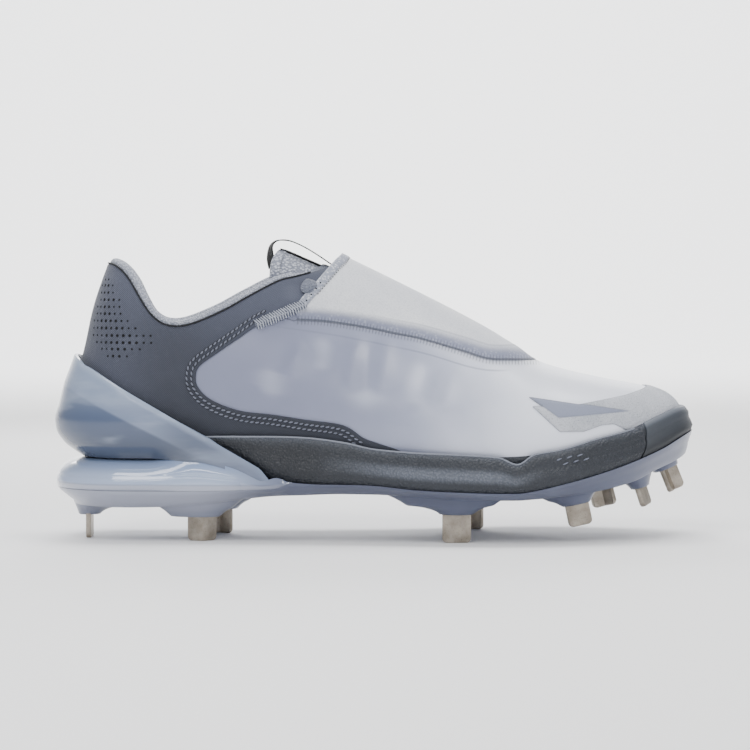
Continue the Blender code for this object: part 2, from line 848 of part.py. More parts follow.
def boss_loops(shape, base, top):
    """Flared boss from its lower face up, longer behind or ahead of its stud."""
    loops = []
    levels = (
        (0.0, shape["face_back"], shape["face_front"]),
        (0.4, shape["web_back"], shape["web_front"]),
        (1.0, shape["web_back"] + shape["root"], shape["web_front"] + shape["root"]),
    )
    for rise, back, front in levels:
        half = STUD_WIDTH / 2 + BOSS_FLARE * rise
        loop = []
        for turn in np.linspace(0, 2 * math.pi, 16, endpoint=False):
            reach = STUD_WIDTH * (front if math.cos(turn) > 0 else back)
            loop.append((reach * math.cos(turn), half * math.sin(turn), base + (top - base) * rise))
        loops.append(loop)
    return loops


def place(points, spot, tilt, turn=0.0):
    """Points turned about the upright, tilted to the toe and moved to a spot."""
    c, s = math.cos(turn), math.sin(turn)
    points = points @ np.array([[c, s, 0], [-s, c, 0], [0, 0, 1]])
    c, s = math.cos(tilt), math.sin(tilt)
    return points @ np.array([[c, 0, s], [0, 1, 0], [-s, 0, c]]) + spot


def build_studs(finishes, plate):
    """Metal blades and the plate's bosses that carry them."""
    for i, number in enumerate(STUDS["number"]):
        row, shape = ({name: float(values[i]) for name, values in rows.items()} for rows in (STUDS, BOSSES))
        tilt, turn = math.radians(row["tilt"]), math.radians(row["turn"])
        spot = np.array([LENGTH * (row["along"] - 0.5), row["across"] * BALL_WIDTH, row["tip"] * STUD_REACH])
        blade, width = row["blade"] * STUD_REACH, row["width"] * STUD_WIDTH
        faces = [
            place(stud_lattice(width, row["bend"], blade, side * STUD_THICKNESS / 2), spot, tilt, turn)
            for side in (-1, 1)
        ]
        slab(f"stud_{int(number)}", *faces, finishes["metal"])
        share = row["along"] - math.sin(tilt) * blade / LENGTH
        middle = (plate_top(share) + height("under", share)) / 2
        top = (middle - spot[2]) / math.cos(tilt)
        loops = boss_loops(shape, blade + GAP, top)
        boss = ring_solid(f"boss_{int(number)}", [place(np.array(loop), spot, tilt) for loop in loops])
        boolean(plate, boss, "UNION")


def main():
    clear_scene()
    finishes = {
        "film": material("film", (0.60, 0.63, 0.70), 0.35),
        "twill": material("twill", (0.13, 0.14, 0.18), 0.75),
        "cover": material("cover", (0.70, 0.72, 0.77), 0.5),
        "grit": material("grit", (0.46, 0.48, 0.53), 0.9),
        "knit": material("knit", (0.62, 0.65, 0.71), 0.9),
        "lace": material("lace", (0.68, 0.70, 0.75), 0.8),
        "webbing": material("webbing", (0.02, 0.02, 0.023), 0.8),
        "midsole": material("midsole", (0.065, 0.075, 0.10), 0.55),
        "toe_bumper": material("toe_bumper", (0.045, 0.05, 0.07), 0.45),
        "clip": material("clip", (0.27, 0.34, 0.48), 0.2),
        "air": material("air", (0.35, 0.43, 0.60), 0.12),
        "plate": material("plate", (0.33, 0.37, 0.48), 0.35),
        "metal": material("metal", (0.32, 0.30, 0.27), 0.35, 1.0),
    }
    collar = collar_space()
    build_upper(finishes, collar)
    build_overlays(finishes, collar)
    build_lining(finishes)
    build_tongue(finishes)
    build_insole(finishes)
    build_foam(finishes)
    build_clip(finishes)
    build_air_unit(finishes)
    build_studs(finishes, build_plate(finishes))


main()
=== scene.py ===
# Baseball cleat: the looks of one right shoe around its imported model
import json
import math

import bmesh
import bpy
import mathutils
import numpy as np
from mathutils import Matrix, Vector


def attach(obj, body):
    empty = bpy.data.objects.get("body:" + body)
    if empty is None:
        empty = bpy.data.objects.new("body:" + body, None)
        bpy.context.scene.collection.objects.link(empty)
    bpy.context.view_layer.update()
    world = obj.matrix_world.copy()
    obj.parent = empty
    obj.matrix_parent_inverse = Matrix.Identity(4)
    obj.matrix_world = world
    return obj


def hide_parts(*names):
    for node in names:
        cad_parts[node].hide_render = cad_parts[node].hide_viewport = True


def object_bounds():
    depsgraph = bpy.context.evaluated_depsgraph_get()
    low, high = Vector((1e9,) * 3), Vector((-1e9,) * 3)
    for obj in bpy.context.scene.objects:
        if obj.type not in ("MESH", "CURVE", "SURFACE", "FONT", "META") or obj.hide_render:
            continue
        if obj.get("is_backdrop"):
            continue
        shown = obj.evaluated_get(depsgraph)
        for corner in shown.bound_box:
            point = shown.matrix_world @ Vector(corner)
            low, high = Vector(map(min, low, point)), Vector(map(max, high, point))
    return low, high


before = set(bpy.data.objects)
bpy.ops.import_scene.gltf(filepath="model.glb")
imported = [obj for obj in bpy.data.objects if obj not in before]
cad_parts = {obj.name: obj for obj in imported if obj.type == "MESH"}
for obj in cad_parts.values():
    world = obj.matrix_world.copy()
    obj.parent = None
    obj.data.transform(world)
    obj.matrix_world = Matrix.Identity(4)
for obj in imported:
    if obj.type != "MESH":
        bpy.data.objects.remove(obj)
cadLow, cadHigh = (list(corner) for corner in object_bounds())


def table(columns, *rows):
    return {name: np.array(values, float) for name, values in zip(columns.split(), zip(*rows))}


# the shoe's main sizes in metres, the same as in the part's source
shoe = {
    "length": 0.300,
    "ballWidth": 0.104,
    "upperHeight": 0.084,
    "soleStack": 0.0345,
    "studReach": 0.0125,
    "heelRound": 0.037,
    "toeRound": 0.073,
    "toePower": 2.45,
    "sideWall": 0.0055,
    "heelInset": 0.007,
    "toeInset": 0.006,
    "featherTuck": 0.004,
    "collarSkew": -0.08,
    "collarSide": -0.027,
}
plan = table(
    "share centre outer inner",
    (0.00, -0.020, -0.365, 0.325),
    (0.12, -0.020, -0.375, 0.335),
    (0.25, -0.025, -0.385, 0.332),
    (0.40, -0.035, -0.405, 0.322),
    (0.50, -0.035, -0.438, 0.337),
    (0.60, -0.025, -0.487, 0.400),
    (0.66, -0.010, -0.500, 0.452),
    (0.72, 0.010, -0.496, 0.490),
    (0.78, 0.040, -0.468, 0.500),
    (0.86, 0.067, -0.415, 0.482),
    (1.00, 0.085, -0.325, 0.425),
)
sole = table(
    "share floor side foam plate under",
    (0.000, 1.000, 1.052, 0.855, 0.340, 0.110),
    (0.120, 1.000, 1.052, 0.855, 0.340, 0.105),
    (0.220, 0.980, 1.052, 0.855, 0.340, 0.130),
    (0.280, 0.942, 1.058, 0.740, 0.350, 0.195),
    (0.344, 0.884, 1.058, 0.507, 0.370, 0.260),
    (0.390, 0.826, 1.046, 0.455, 0.500, 0.275),
    (0.450, 0.754, 0.986, 0.432, 0.500, 0.293),
    (0.500, 0.710, 0.896, 0.409, 0.500, 0.290),
    (0.560, 0.652, 0.855, 0.360, 0.500, 0.270),
    (0.620, 0.594, 0.835, 0.335, 0.500, 0.235),
    (0.685, 0.565, 0.800, 0.320, 0.500, 0.225),
    (0.715, 0.554, 0.707, 0.318, 0.500, 0.225),
    (0.742, 0.560, 0.841, 0.342, 0.500, 0.240),
    (0.780, 0.586, 0.893, 0.400, 0.500, 0.265),
    (0.842, 0.681, 1.032, 0.536, 0.600, 0.328),
    (0.900, 0.812, 1.145, 0.696, 0.750, 0.435),
    (0.943, 0.942, 1.290, 0.841, 0.900, 0.590),
    (0.985, 1.116, 1.406, 1.014, 1.100, 0.725),
    (1.000, 1.160, 1.420, 1.058, 1.150, 0.790),
)
last = table(
    "share wide top ridge full",
    (0.000, 0.200, 1.190, 0.000, 2.2),
    (0.120, 0.200, 1.190, 0.000, 2.2),
    (0.250, 0.180, 1.180, 0.015, 2.3),
    (0.300, 0.165, 1.165, 0.030, 2.3),
    (0.350, 0.150, 1.131, 0.040, 2.2),
    (0.390, 0.140, 1.079, 0.048, 2.1),
    (0.438, 0.125, 1.009, 0.055, 2.0),
    (0.559, 0.080, 0.808, 0.060, 1.85),
    (0.671, 0.020, 0.603, 0.050, 1.9),
    (0.718, 0.010, 0.502, 0.045, 2.0),
    (0.766, 0.015, 0.412, 0.040, 2.1),
    (0.870, 0.040, 0.326, 0.020, 2.4),
    (0.938, 0.080, 0.284, 0.010, 2.4),
    (0.970, 0.100, 0.250, 0.005, 2.4),
    (0.993, 0.115, 0.192, 0.000, 2.4),
    (1.000, 0.110, 0.140, 0.000, 2.4),
)
lean = table(
    "share forward",
    (-0.300, 0.090),
    (-0.200, 0.071),
    (-0.020, 0.018),
    (0.120, 0.000),
    (0.333, 0.043),
    (0.476, 0.089),
    (0.720, 0.144),
    (1.000, 0.240),
    (1.300, 0.350),
)


def read(rows, column, at, key="share"):
    keys, values = rows[key], rows[column]
    at = np.clip(at, keys[0], keys[-1])
    i = np.clip(np.searchsorted(keys, at) - 1, 0, len(keys) - 2)
    step = np.diff(keys)
    slopes = np.diff(values) / step
    before, after = slopes[:-1], slopes[1:]
    level = before * after <= 0
    inner = np.where(level, 0.0, 2 * before * after / np.where(level, 1.0, before + after))
    slopes = np.concatenate([slopes[:1], inner, slopes[-1:]])
    t = (at - keys[i]) / step[i]
    rise = values[i] * (1 + 2 * t) * (1 - t) ** 2 + values[i + 1] * t * t * (3 - 2 * t)
    return rise + step[i] * t * (1 - t) * ((1 - t) * slopes[i] - t * slopes[i + 1])


def soleLevel(share):
    return shoe["studReach"] + share * shoe["soleStack"]


def upperLevel(share):
    return soleLevel(1) + share * shoe["upperHeight"]


def smooth(t):
    t = np.clip(t, 0, 1)
    return t * t * (3 - 2 * t)


def rounded(t):
    return np.sqrt(1 - (1 - np.clip(t, 0, 1)) ** 2)


def unit(vectors):
    return vectors / np.maximum(np.linalg.norm(vectors, axis=-1, keepdims=True), 1e-12)


def relaxed(values, times):
    # each inner row drawn toward its neighbours
    values = values.copy()
    for _ in range(times):
        values[1:-1] = (values[:-2] + values[1:-1] * 2 + values[2:]) / 4
    return values


def bisect(low, high, past, steps=30):
    # halves the range between low and high until it closes on where past turns true
    for _ in range(steps):
        middle = (low + high) / 2
        found = past(middle)
        high, low = np.where(found, middle, high), np.where(found, low, middle)
    return (low + high) / 2


def station(a):
    # a runs 0 to 1 round the heel, 1 to 2 along the side and 2 to 3 round the toe
    heel, toe = shoe["heelRound"] / shoe["length"], shoe["toeRound"] / shoe["length"]
    turn = math.pi / 2 * np.clip(a, 0, 1)
    share = heel * (1 - np.cos(turn)) + (1 - heel - toe) * np.clip(a - 1, 0, 1)
    reach = np.sin(math.pi / 2 * np.clip(a - 2, 0, 1))
    share = np.where(a > 2, 1 - toe * (1 - reach), share)
    power = shoe["toePower"]
    roundness = np.where(a > 2, np.maximum(1 - reach**power, 0) ** (1 / power), np.sin(turn))
    pull = np.where(a < 1, np.cos(turn), -reach)
    return share, roundness, pull


def sidewise(share):
    # the place a of a share of the length, between the two round ends
    straight = 1 - (shoe["heelRound"] + shoe["toeRound"]) / shoe["length"]
    return 1 + (share - shoe["heelRound"] / shoe["length"]) / straight


def planY(share, roundness, outer, inset):
    centre = read(plan, "centre", share) * shoe["ballWidth"]
    edge = np.where(outer, read(plan, "outer", share), read(plan, "inner", share)) * shoe["ballWidth"]
    return centre + (edge + np.where(outer, inset, -inset) - centre) * roundness


def leanAt(z, share):
    forward = read(lean, "forward", (z - soleLevel(1)) / shoe["upperHeight"])
    return forward * shoe["upperHeight"] * (1 - share) ** 4


def lastPoint(a, w):
    # w runs 0 at the outer feather edge, 1 greatest width, 2 ridge, 3 inner width, 4 inner feather edge
    share, roundness, pull = station(a)
    outer = w <= 2
    v = np.where(outer, w, 4 - w)
    inset = np.where(pull > 0, shoe["heelInset"], shoe["toeInset"])
    floor, wide = soleLevel(read(sole, "floor", share)), upperLevel(read(last, "wide", share))
    top, full = upperLevel(read(last, "top", share)), read(last, "full", share)
    edge = planY(share, roundness, outer, shoe["sideWall"])
    tuck = planY(share, roundness, outer, shoe["sideWall"] + shoe["featherTuck"])
    rise = np.clip(v, 0, 1)
    middle = (read(plan, "centre", share) + read(last, "ridge", share) * roundness) * shoe["ballWidth"]
    turn = math.pi / 2 * np.clip(v - 1, 0, 1)
    above = v > 1
    y = np.where(
        above,
        middle + (edge - middle) * np.maximum(np.cos(turn), 0) ** (2 / full),
        edge + (tuck - edge) * (1 - rise) ** 2,
    )
    z = np.where(above, wide + (top - wide) * np.sin(turn) ** (2 / full), floor + (wide - floor) * rise)
    x = shoe["length"] * (share - 0.5) + pull * inset + leanAt(z, share)
    return np.stack([x, y, z], -1)


def heightRow(a, z, outer):
    # the w at which the last's surface has height z
    share = station(a)[0]
    floor, wide = soleLevel(read(sole, "floor", share)), upperLevel(read(last, "wide", share))
    top, full = upperLevel(read(last, "top", share)), read(last, "full", share)
    turn = np.arcsin(np.clip((z - wide) / (top - wide), 0, 1) ** (full / 2))
    v = np.where(z > wide, 1 + turn / (math.pi / 2), np.clip((z - floor) / (wide - floor), 0, 1))
    return np.where(outer, v, 4 - v)


def latticeNormals(points, closed=()):
    # closed names the end rows that meet their own mirror image, at the heel or the toe
    n = np.cross(np.gradient(points, axis=0), np.gradient(points, axis=1))
    weak = np.linalg.norm(n, axis=-1) < 1e-10
    n = unit(n)
    for i in range(1, len(n)):
        n[i][weak[i]] = n[i - 1][weak[i]]
    for i in range(len(n) - 2, -1, -1):
        n[i][weak[i]] = n[i + 1][weak[i]]
    for i in closed:
        n[i] = n[i] + n[i][::-1]
    return unit(n)


# rough lengths of the last's surface from one whole a, or w, to the next
runs = {
    "along": (0.055, 0.190, 0.095),
    "around": (0.013, 0.090, 0.090, 0.013),
    "plate": (0.055, 0.190, 0.110),
}


def spaced(start, stop, lengths, cell):
    marks = [start] + [k for k in range(1, len(lengths)) if start < k < stop] + [stop]
    parts = []
    for p, q in zip(marks, marks[1:]):
        count = max(2, round(lengths[int(p)] * (q - p) / cell))
        parts.append(np.linspace(p, q, count + 1)[:-1])
    return np.concatenate(parts + [[stop]])


def lastLattice(cell, aRange=(0, 3), wRange=(0, 4)):
    a = spaced(*aRange, runs["along"], cell)
    w = spaced(*wRange, runs["around"], cell)
    a, w = np.meshgrid(a, w, indexing="ij")
    return a, w, lastPoint(a, w)


def offsetPoint(a, w, offset):
    # points off the last's surface, with its normals
    step = 1e-3
    du = lastPoint(np.minimum(a + step, 3), w) - lastPoint(np.maximum(a - step, 0), w)
    dw = lastPoint(a, np.minimum(w + step, 4)) - lastPoint(a, np.maximum(w - step, 0))
    n = unit(np.cross(du, dw))
    return lastPoint(a, w) + n * np.asarray(offset)[..., None], n


def seat(x, z, outer):
    # points of the last, with normals, from their place in side view
    x, z = np.broadcast_arrays(np.asarray(x, float), np.asarray(z, float))

    def past(a):
        return lastPoint(a, heightRow(a, z, outer))[..., 0] > x

    a = np.clip(bisect(np.zeros_like(x), np.full_like(x, 3.0), past, 34), 1e-3, 3 - 1e-3)
    return offsetPoint(a, heightRow(a, z, outer), 0.0)


def sidePlace(along, up):
    return shoe["length"] * (np.asarray(along) - 0.5), upperLevel(np.asarray(up))


def spline(padded, steps):
    # a smooth line from the second point to the last but one
    found = []
    for a, b, c, d in zip(padded, padded[1:], padded[2:], padded[3:]):
        for t in np.arange(steps) / steps:
            bend = (2 * a - 5 * b + 4 * c - d) * t**2 + (3 * (b - c) + d - a) * t**3
            found.append(b + ((c - a) * t + bend) / 2)
    return found


def curve(rows, steps=6):
    spots = np.stack(sidePlace(rows["along"], rows["up"]), -1)
    padded = np.vstack([2 * spots[0] - spots[1], spots, 2 * spots[-1] - spots[-2]])
    return np.array(spline(padded, steps) + [spots[-1]])


def evenly(path, gap):
    path = np.asarray(path)
    run = np.concatenate([[0], np.cumsum(np.linalg.norm(np.diff(path, axis=0), axis=1))])
    at = np.linspace(0, run[-1], max(2, round(run[-1] / gap) + 1))
    return np.stack([np.interp(at, run, path[:, k]) for k in range(path.shape[1])], -1)


def toPath(spots, path):
    # unsigned distance to an open path in side view, how far along it, and on which side
    best = np.full(len(spots), 1e9)
    run, hand = np.zeros(len(spots)), np.zeros(len(spots))
    done = 0.0
    for p, q in zip(path, path[1:]):
        d = q - p
        length = math.hypot(*d)
        t = np.clip(((spots - p) @ d) / length**2, 0, 1)
        away = spots - p - t[:, None] * d
        far = np.hypot(away[:, 0], away[:, 1])
        closer = far < best - 1e-12
        best = np.where(closer, far, best)
        run = np.where(closer, done + t * length, run)
        hand = np.where(closer, np.sign(d[0] * away[:, 1] - d[1] * away[:, 0]), hand)
        done += length
    return best, run, hand


def within(spots, polygon):
    # signed distance to a closed outline, positive inside
    closed = np.vstack([polygon, polygon[:1]])
    distance = toPath(spots, closed)[0]
    inside = np.zeros(len(spots), bool)
    for p, q in zip(closed, closed[1:]):
        crosses = (p[1] > spots[:, 1]) != (q[1] > spots[:, 1])
        rise = q[1] - p[1] if q[1] != p[1] else 1e-12
        inside ^= crosses & (spots[:, 0] < (q[0] - p[0]) * (spots[:, 1] - p[1]) / rise + p[0])
    return np.where(inside, distance, -distance)


def flatCoords(points, fromRidge):
    # distances along and across the surface in millimetres, for weaves and knits
    along = np.linalg.norm(np.diff(points, axis=0), axis=-1)
    middle = along[:, along.shape[1] // 4]
    u = np.concatenate([[0], np.cumsum(middle)])[:, None] + np.zeros(points.shape[:2])
    across = np.cumsum(np.linalg.norm(np.diff(points, axis=1), axis=-1), axis=1)
    v = np.concatenate([np.zeros((len(points), 1)), across], axis=1)
    half = points.shape[1] // 2
    if fromRidge:
        v = v - v[:, half : half + 1]
    else:
        v = np.minimum(v, v[:, -1:] - v)
    return np.stack([u, v, np.zeros_like(u)], -1) * 1000


def makeMesh(name, points, faces, fields=None, weld=1e-6, sharp=40, material=None):
    mesh = bpy.data.meshes.new(name)
    mesh.from_pydata([tuple(p) for p in points], [], faces)
    for key, values in (fields or {}).items():
        values = np.asarray(values, np.float32)
        kind = "FLOAT_VECTOR" if values.ndim == 2 else "FLOAT"
        spot = mesh.attributes.new(key, kind, "POINT")
        spot.data.foreach_set("vector" if values.ndim == 2 else "value", values.ravel())
    work = bmesh.new()
    work.from_mesh(mesh)
    bmesh.ops.remove_doubles(work, verts=work.verts, dist=weld)
    bmesh.ops.dissolve_degenerate(work, edges=work.edges, dist=1e-7)
    work.to_mesh(mesh)
    work.free()
    mesh.shade_smooth()
    mesh.set_sharp_from_angle(angle=math.radians(sharp))
    if material:
        mesh.materials.append(material)
    obj = bpy.data.objects.new(name, mesh)
    bpy.context.scene.collection.objects.link(obj)
    return obj


def latticeFaces(rows, columns):
    # the faces between closed sections of so many columns each
    i, j = np.meshgrid(np.arange(rows - 1), np.arange(columns), indexing="ij")
    across = (j + 1) % columns
    quads = [i * columns + j, (i + 1) * columns + j, (i + 1) * columns + across, i * columns + across]
    return np.stack(quads, -1).reshape(-1, 4).tolist()


def cutLattice(keep, fields):
    # the cells of a lattice where keep is positive, clipped along keep = 0
    n, m = keep.shape
    ids = np.arange(n * m).reshape(n, m)
    flat = {key: np.asarray(value, float).reshape(n * m, -1) for key, value in fields.items()}
    level = keep.ravel()
    quads = np.stack([ids[:-1, :-1], ids[1:, :-1], ids[1:, 1:], ids[:-1, 1:]], -1).reshape(-1, 4)
    count = (level[quads] > 0).sum(1)
    faces = quads[count == 4].tolist()
    added, ends, shares = {}, [], []
    for cell in quads[(count > 0) & (count < 4)]:
        found = []
        for p, q in zip(cell, np.roll(cell, -1)):
            if level[p] > 0:
                found.append(int(p))
            if (level[p] > 0) != (level[q] > 0):
                key = (min(p, q), max(p, q))
                if key not in added:
                    added[key] = n * m + len(ends)
                    ends.append(key)
                    shares.append(level[key[0]] / (level[key[0]] - level[key[1]]))
                found.append(added[key])
        if len(found) > 2:
            faces.append(found)
    if ends:
        first, second = np.array(ends).T
        t = np.array(shares)[:, None]
        flat = {key: np.vstack([v, v[first] * (1 - t) + v[second] * t]) for key, v in flat.items()}
    used = np.unique(np.concatenate([np.array(face) for face in faces]))
    renumber = np.full(len(next(iter(flat.values()))), -1)
    renumber[used] = np.arange(len(used))
    faces = [[int(renumber[k]) for k in face] for face in faces]
    return {key: v[used] for key, v in flat.items()}, faces


def shell(name, points, normals, keep, outer, inner, material, fields=None, closed=True):
    # a wall between two offsets of a lattice, cut to an outline
    rows = np.arange(points.shape[0])[:, None] + np.zeros(points.shape[:2])
    data = {"points": points, "normals": normals, "outer": outer, "inner": inner, "row": rows}
    data.update({"rim": keep * 1000, **(fields or {})})
    data = {key: np.broadcast_to(v, points.shape[:2] + np.shape(v)[2:]) for key, v in data.items()}
    cut, faces = cutLattice(keep, data)
    count = len(cut["points"])
    high = cut["points"] + cut["normals"] * cut["outer"]
    low = cut["points"] + cut["normals"] * cut["inner"]
    edges = {}
    for face in faces:
        for p, q in zip(face, face[1:] + face[:1]):
            edges[(p, q)] = edges.get((p, q), 0) + 1
    row = cut["row"][:, 0]
    ends = (0, points.shape[0] - 1)
    walls = []
    for p, q in edges:
        if (q, p) in edges:
            continue
        if closed and row[p] == row[q] and row[p] in ends:
            continue
        walls.append([q, p, p + count, q + count])
    faces = faces + [[k + count for k in face[::-1]] for face in faces] + walls
    kept = {"inside": np.repeat([0.0, 1.0], count)}
    for key in ["rim", *(fields or {})]:
        value = np.vstack([cut[key], cut[key]])
        kept[key] = value if value.shape[1] == 3 else value[:, 0]
    return makeMesh(name, np.vstack([high, low]), faces, kept, material=material)


def tube(name, path, radius, normals=None, sides=10, squash=1.0, material=None):
    path = np.asarray(path)
    ahead = unit(np.gradient(path, axis=0))
    up = np.tile([0, 0, 1.0], (len(path), 1)) if normals is None else np.asarray(normals)
    side = unit(np.cross(ahead, up))
    up = np.cross(side, ahead)
    turn = np.linspace(0, 2 * math.pi, sides, endpoint=False)
    radius = np.broadcast_to(radius, len(path))[:, None, None]
    ring = side[:, None] * np.cos(turn)[None, :, None] + up[:, None] * np.sin(turn)[None, :, None] * squash
    points = (path[:, None] + ring * radius).reshape(-1, 3)
    faces = latticeFaces(len(path), sides)
    faces += [list(range(sides)), list(range((len(path) - 1) * sides, len(path) * sides))[::-1]]
    run = np.concatenate([[0], np.cumsum(np.linalg.norm(np.diff(path, axis=0), axis=1))]) * 1000
    flat = np.zeros((len(points), 3))
    flat[:, 0] = np.repeat(run, sides)
    flat[:, 1] = np.tile(turn, len(path)) * radius.max() * 1000
    obj = makeMesh(name, points, faces, {"flat": flat}, material=material)
    faceOut(obj)
    return obj


def faceOut(obj):
    work = bmesh.new()
    work.from_mesh(obj.data)
    bmesh.ops.recalc_face_normals(work, faces=work.faces)
    work.to_mesh(obj.data)
    work.free()


def sweep(name, rows, material, fields=None, capped=True, sharp=40):
    # closed sections, all with the same count of points, joined one to the next
    rows = np.asarray(rows)
    count, sides = rows.shape[:2]
    faces = latticeFaces(count, sides)
    if capped:
        faces += [list(range(sides)), list(range((count - 1) * sides, count * sides))[::-1]]
    along = np.concatenate([[0], np.cumsum(np.linalg.norm(np.diff(rows.mean(1), axis=0), axis=1))])
    across = np.linalg.norm(np.diff(rows, axis=1, append=rows[:, :1]), axis=-1).mean(0)
    flat = np.zeros((count, sides, 3))
    flat[..., 0] = along[:, None] * 1000
    flat[..., 1] = np.concatenate([[0], np.cumsum(across)])[:-1] * 1000
    data = {"flat": flat.reshape(-1, 3)}
    data.update({key: np.asarray(v).reshape(count * sides) for key, v in (fields or {}).items()})
    obj = makeMesh(name, rows.reshape(-1, 3), faces, data, sharp=sharp, material=material)
    faceOut(obj)
    return obj


class Wire:
    def __init__(self, tree, socket):
        self.tree, self.socket = tree, socket

    def math(self, operation, *values):
        return node(self.tree, "ShaderNodeMath", {"operation": operation}, dict(enumerate(values)))

    def __add__(self, other):
        return self.math("ADD", self, other)

    def __sub__(self, other):
        return self.math("SUBTRACT", self, other)

    def __rsub__(self, other):
        return self.math("SUBTRACT", other, self)

    def __mul__(self, other):
        return self.math("MULTIPLY", self, other)

    def __truediv__(self, other):
        return self.math("DIVIDE", self, other)

    def __neg__(self):
        return self.math("MULTIPLY", self, -1.0)

    __radd__, __rmul__ = __add__, __mul__

    def sine(self):
        return self.math("SINE", self)

    def size(self):
        return self.math("ABSOLUTE", self)

    def ramp(self, low, high, start=0.0, stop=1.0):
        values = {0: self, 1: low, 2: high, 3: start, 4: stop}
        return node(self.tree, "ShaderNodeMapRange", {"interpolation_type": "SMOOTHSTEP"}, values)


def node(tree, kind, settings=None, values=None, out=0):
    made = tree.nodes.new(kind)
    for key, value in (settings or {}).items():
        setattr(made, key, value)
    for key, value in (values or {}).items():
        socket = made.inputs[key]
        if isinstance(value, Wire):
            tree.links.new(value.socket, socket)
        elif hasattr(socket.default_value, "__len__") and len(socket.default_value) == 4:
            socket.default_value = (*value, 1) if len(value) == 3 else value
        else:
            socket.default_value = value
    return Wire(tree, made.outputs[out])


class Finish:
    def __init__(self, name, **constants):
        self.material = bpy.data.materials.new(name)
        self.material.use_nodes = True
        self.tree = self.material.node_tree
        self.shader = self.tree.nodes["Principled BSDF"]
        self.color = None
        for key, value in constants.items():
            socket = self.shader.inputs[key.replace("_", " ")]
            socket.default_value = (*value, 1) if hasattr(value, "__len__") and len(value) == 3 else value

    def node(self, kind, settings=None, values=None, out=0):
        return node(self.tree, kind, settings, values, out)

    def field(self, name):
        return self.node("ShaderNodeAttribute", {"attribute_name": name}, out=2)

    def vector(self, name):
        return self.node("ShaderNodeAttribute", {"attribute_name": name}, out=1)

    def place(self):
        return self.node("ShaderNodeTexCoord", out=3)

    def parts(self, vector):
        made = self.tree.nodes.new("ShaderNodeSeparateXYZ")
        self.tree.links.new(vector.socket, made.inputs[0])
        return [Wire(self.tree, socket) for socket in made.outputs]

    def stretched(self, vector, **values):
        return self.node("ShaderNodeMapping", None, {"Vector": vector, **values})

    def noise(self, vector, scale, detail=3.0, rough=0.5):
        values = {"Vector": vector, "Scale": scale, "Detail": detail, "Roughness": rough}
        return self.node("ShaderNodeTexNoise", None, values)

    def cells(self, vector, scale, feature="F1", random=1.0):
        values = {"Vector": vector, "Scale": scale, "Randomness": random}
        return self.node("ShaderNodeTexVoronoi", {"feature": feature}, values)

    def mix(self, share, first, second):
        return self.node("ShaderNodeMix", {"data_type": "RGBA"}, {0: share, 6: first, 7: second}, out=2)

    def lay(self, share, color):
        # one more colour over the ones so far, where share says
        self.color = self.mix(share, self.color, shade(color) if isinstance(color, str) else color)

    def bump(self, height, strength, distance, normal=None):
        values = {"Height": height, "Strength": strength, "Distance": distance}
        if normal:
            values["Normal"] = normal
        return self.node("ShaderNodeBump", None, values)

    def wear(self, **links):
        for key, wire in {"Base_Color": self.color, **links}.items():
            self.tree.links.new(wire.socket, self.shader.inputs[key.replace("_", " ")])
        return self.material


def shade(hexColor):
    # an sRGB colour, as linear light
    found = []
    for k in (0, 2, 4):
        c = int(hexColor[k : k + 2], 16) / 255
        found.append(c / 12.92 if c <= 0.04045 else ((c + 0.055) / 1.055) ** 2.4)
    return tuple(found)


def ringPoint(a, outer, level, inset, end):
    # a point round the sole, from its place a, its height and its inset from the sole's outline
    share, roundness, pull = station(a)
    y = planY(share, roundness, outer, inset)
    return np.stack(np.broadcast_arrays(shoe["length"] * (share - 0.5) + pull * end, y, level), -1)


def signedPoint(s, level, inset, end):
    # s is a with a sign: negative on the inner side, positive on the outer side
    return ringPoint(np.abs(s), s >= 0, level, inset, end)


def soleHeight(column, share):
    return soleLevel(read(sole, column, share))


# how far the plate and the clip's base stay under the foam's lower edge
belowFoam = {"plate": 0.0003, "clip": 0.0033}


def plateTop(share):
    return np.minimum(soleHeight("plate", share), soleHeight("foam", share) - belowFoam["plate"])


def clipBase(share):
    return soleHeight("foam", share) - belowFoam["clip"]


def crossing(w, path, offset, low=1.05, high=2.4):
    # where the offset last crosses a line of side view, at each w
    order = np.argsort(path[:, 1])

    def past(a):
        spots = offsetPoint(a, w, offset)[0]
        return spots[:, 0] > np.interp(spots[:, 2], path[order, 1], path[order, 0])

    return bisect(np.full(len(w), low), np.full(len(w), high), past)


print("sizes and helpers ready")


collarRows = table(
    "along up",
    (-0.030, 0.965),
    (0.060, 0.975),
    (0.090, 0.970),
    (0.108, 0.944),
    (0.125, 0.877),
    (0.142, 0.767),
    (0.158, 0.683),
    (0.181, 0.630),
    (0.214, 0.632),
    (0.264, 0.703),
    (0.307, 0.787),
    (0.352, 0.869),
    (0.380, 0.893),
    (0.425, 0.935),
)
panelRows = table(
    "along up",
    (0.470, 1.060),
    (0.440, 0.930),
    (0.410, 0.800),
    (0.388, 0.738),
    (0.360, 0.692),
    (0.326, 0.640),
    (0.294, 0.562),
    (0.256, 0.469),
    (0.233, 0.409),
    (0.227, 0.360),
    (0.230, 0.295),
    (0.251, 0.224),
    (0.294, 0.166),
    (0.345, 0.144),
    (0.395, 0.117),
    (0.452, 0.088),
    (0.483, 0.019),
    (0.509, -0.014),
    (0.544, -0.060),
    (0.560, -0.150),
)
coverRearRows = table(
    "along up",
    (0.460, 1.200),
    (0.449, 1.030),
    (0.434, 0.964),
    (0.409, 0.860),
    (0.381, 0.740),
    (0.382, 0.659),
)
coverEdgeRows = table(
    "along up",
    (0.382, 0.659),
    (0.414, 0.654),
    (0.446, 0.640),
    (0.489, 0.615),
    (0.532, 0.583),
    (0.570, 0.555),
    (0.632, 0.490),
    (0.672, 0.446),
    (0.712, 0.438),
    (0.760, 0.428),
    (0.790, 0.385),
)
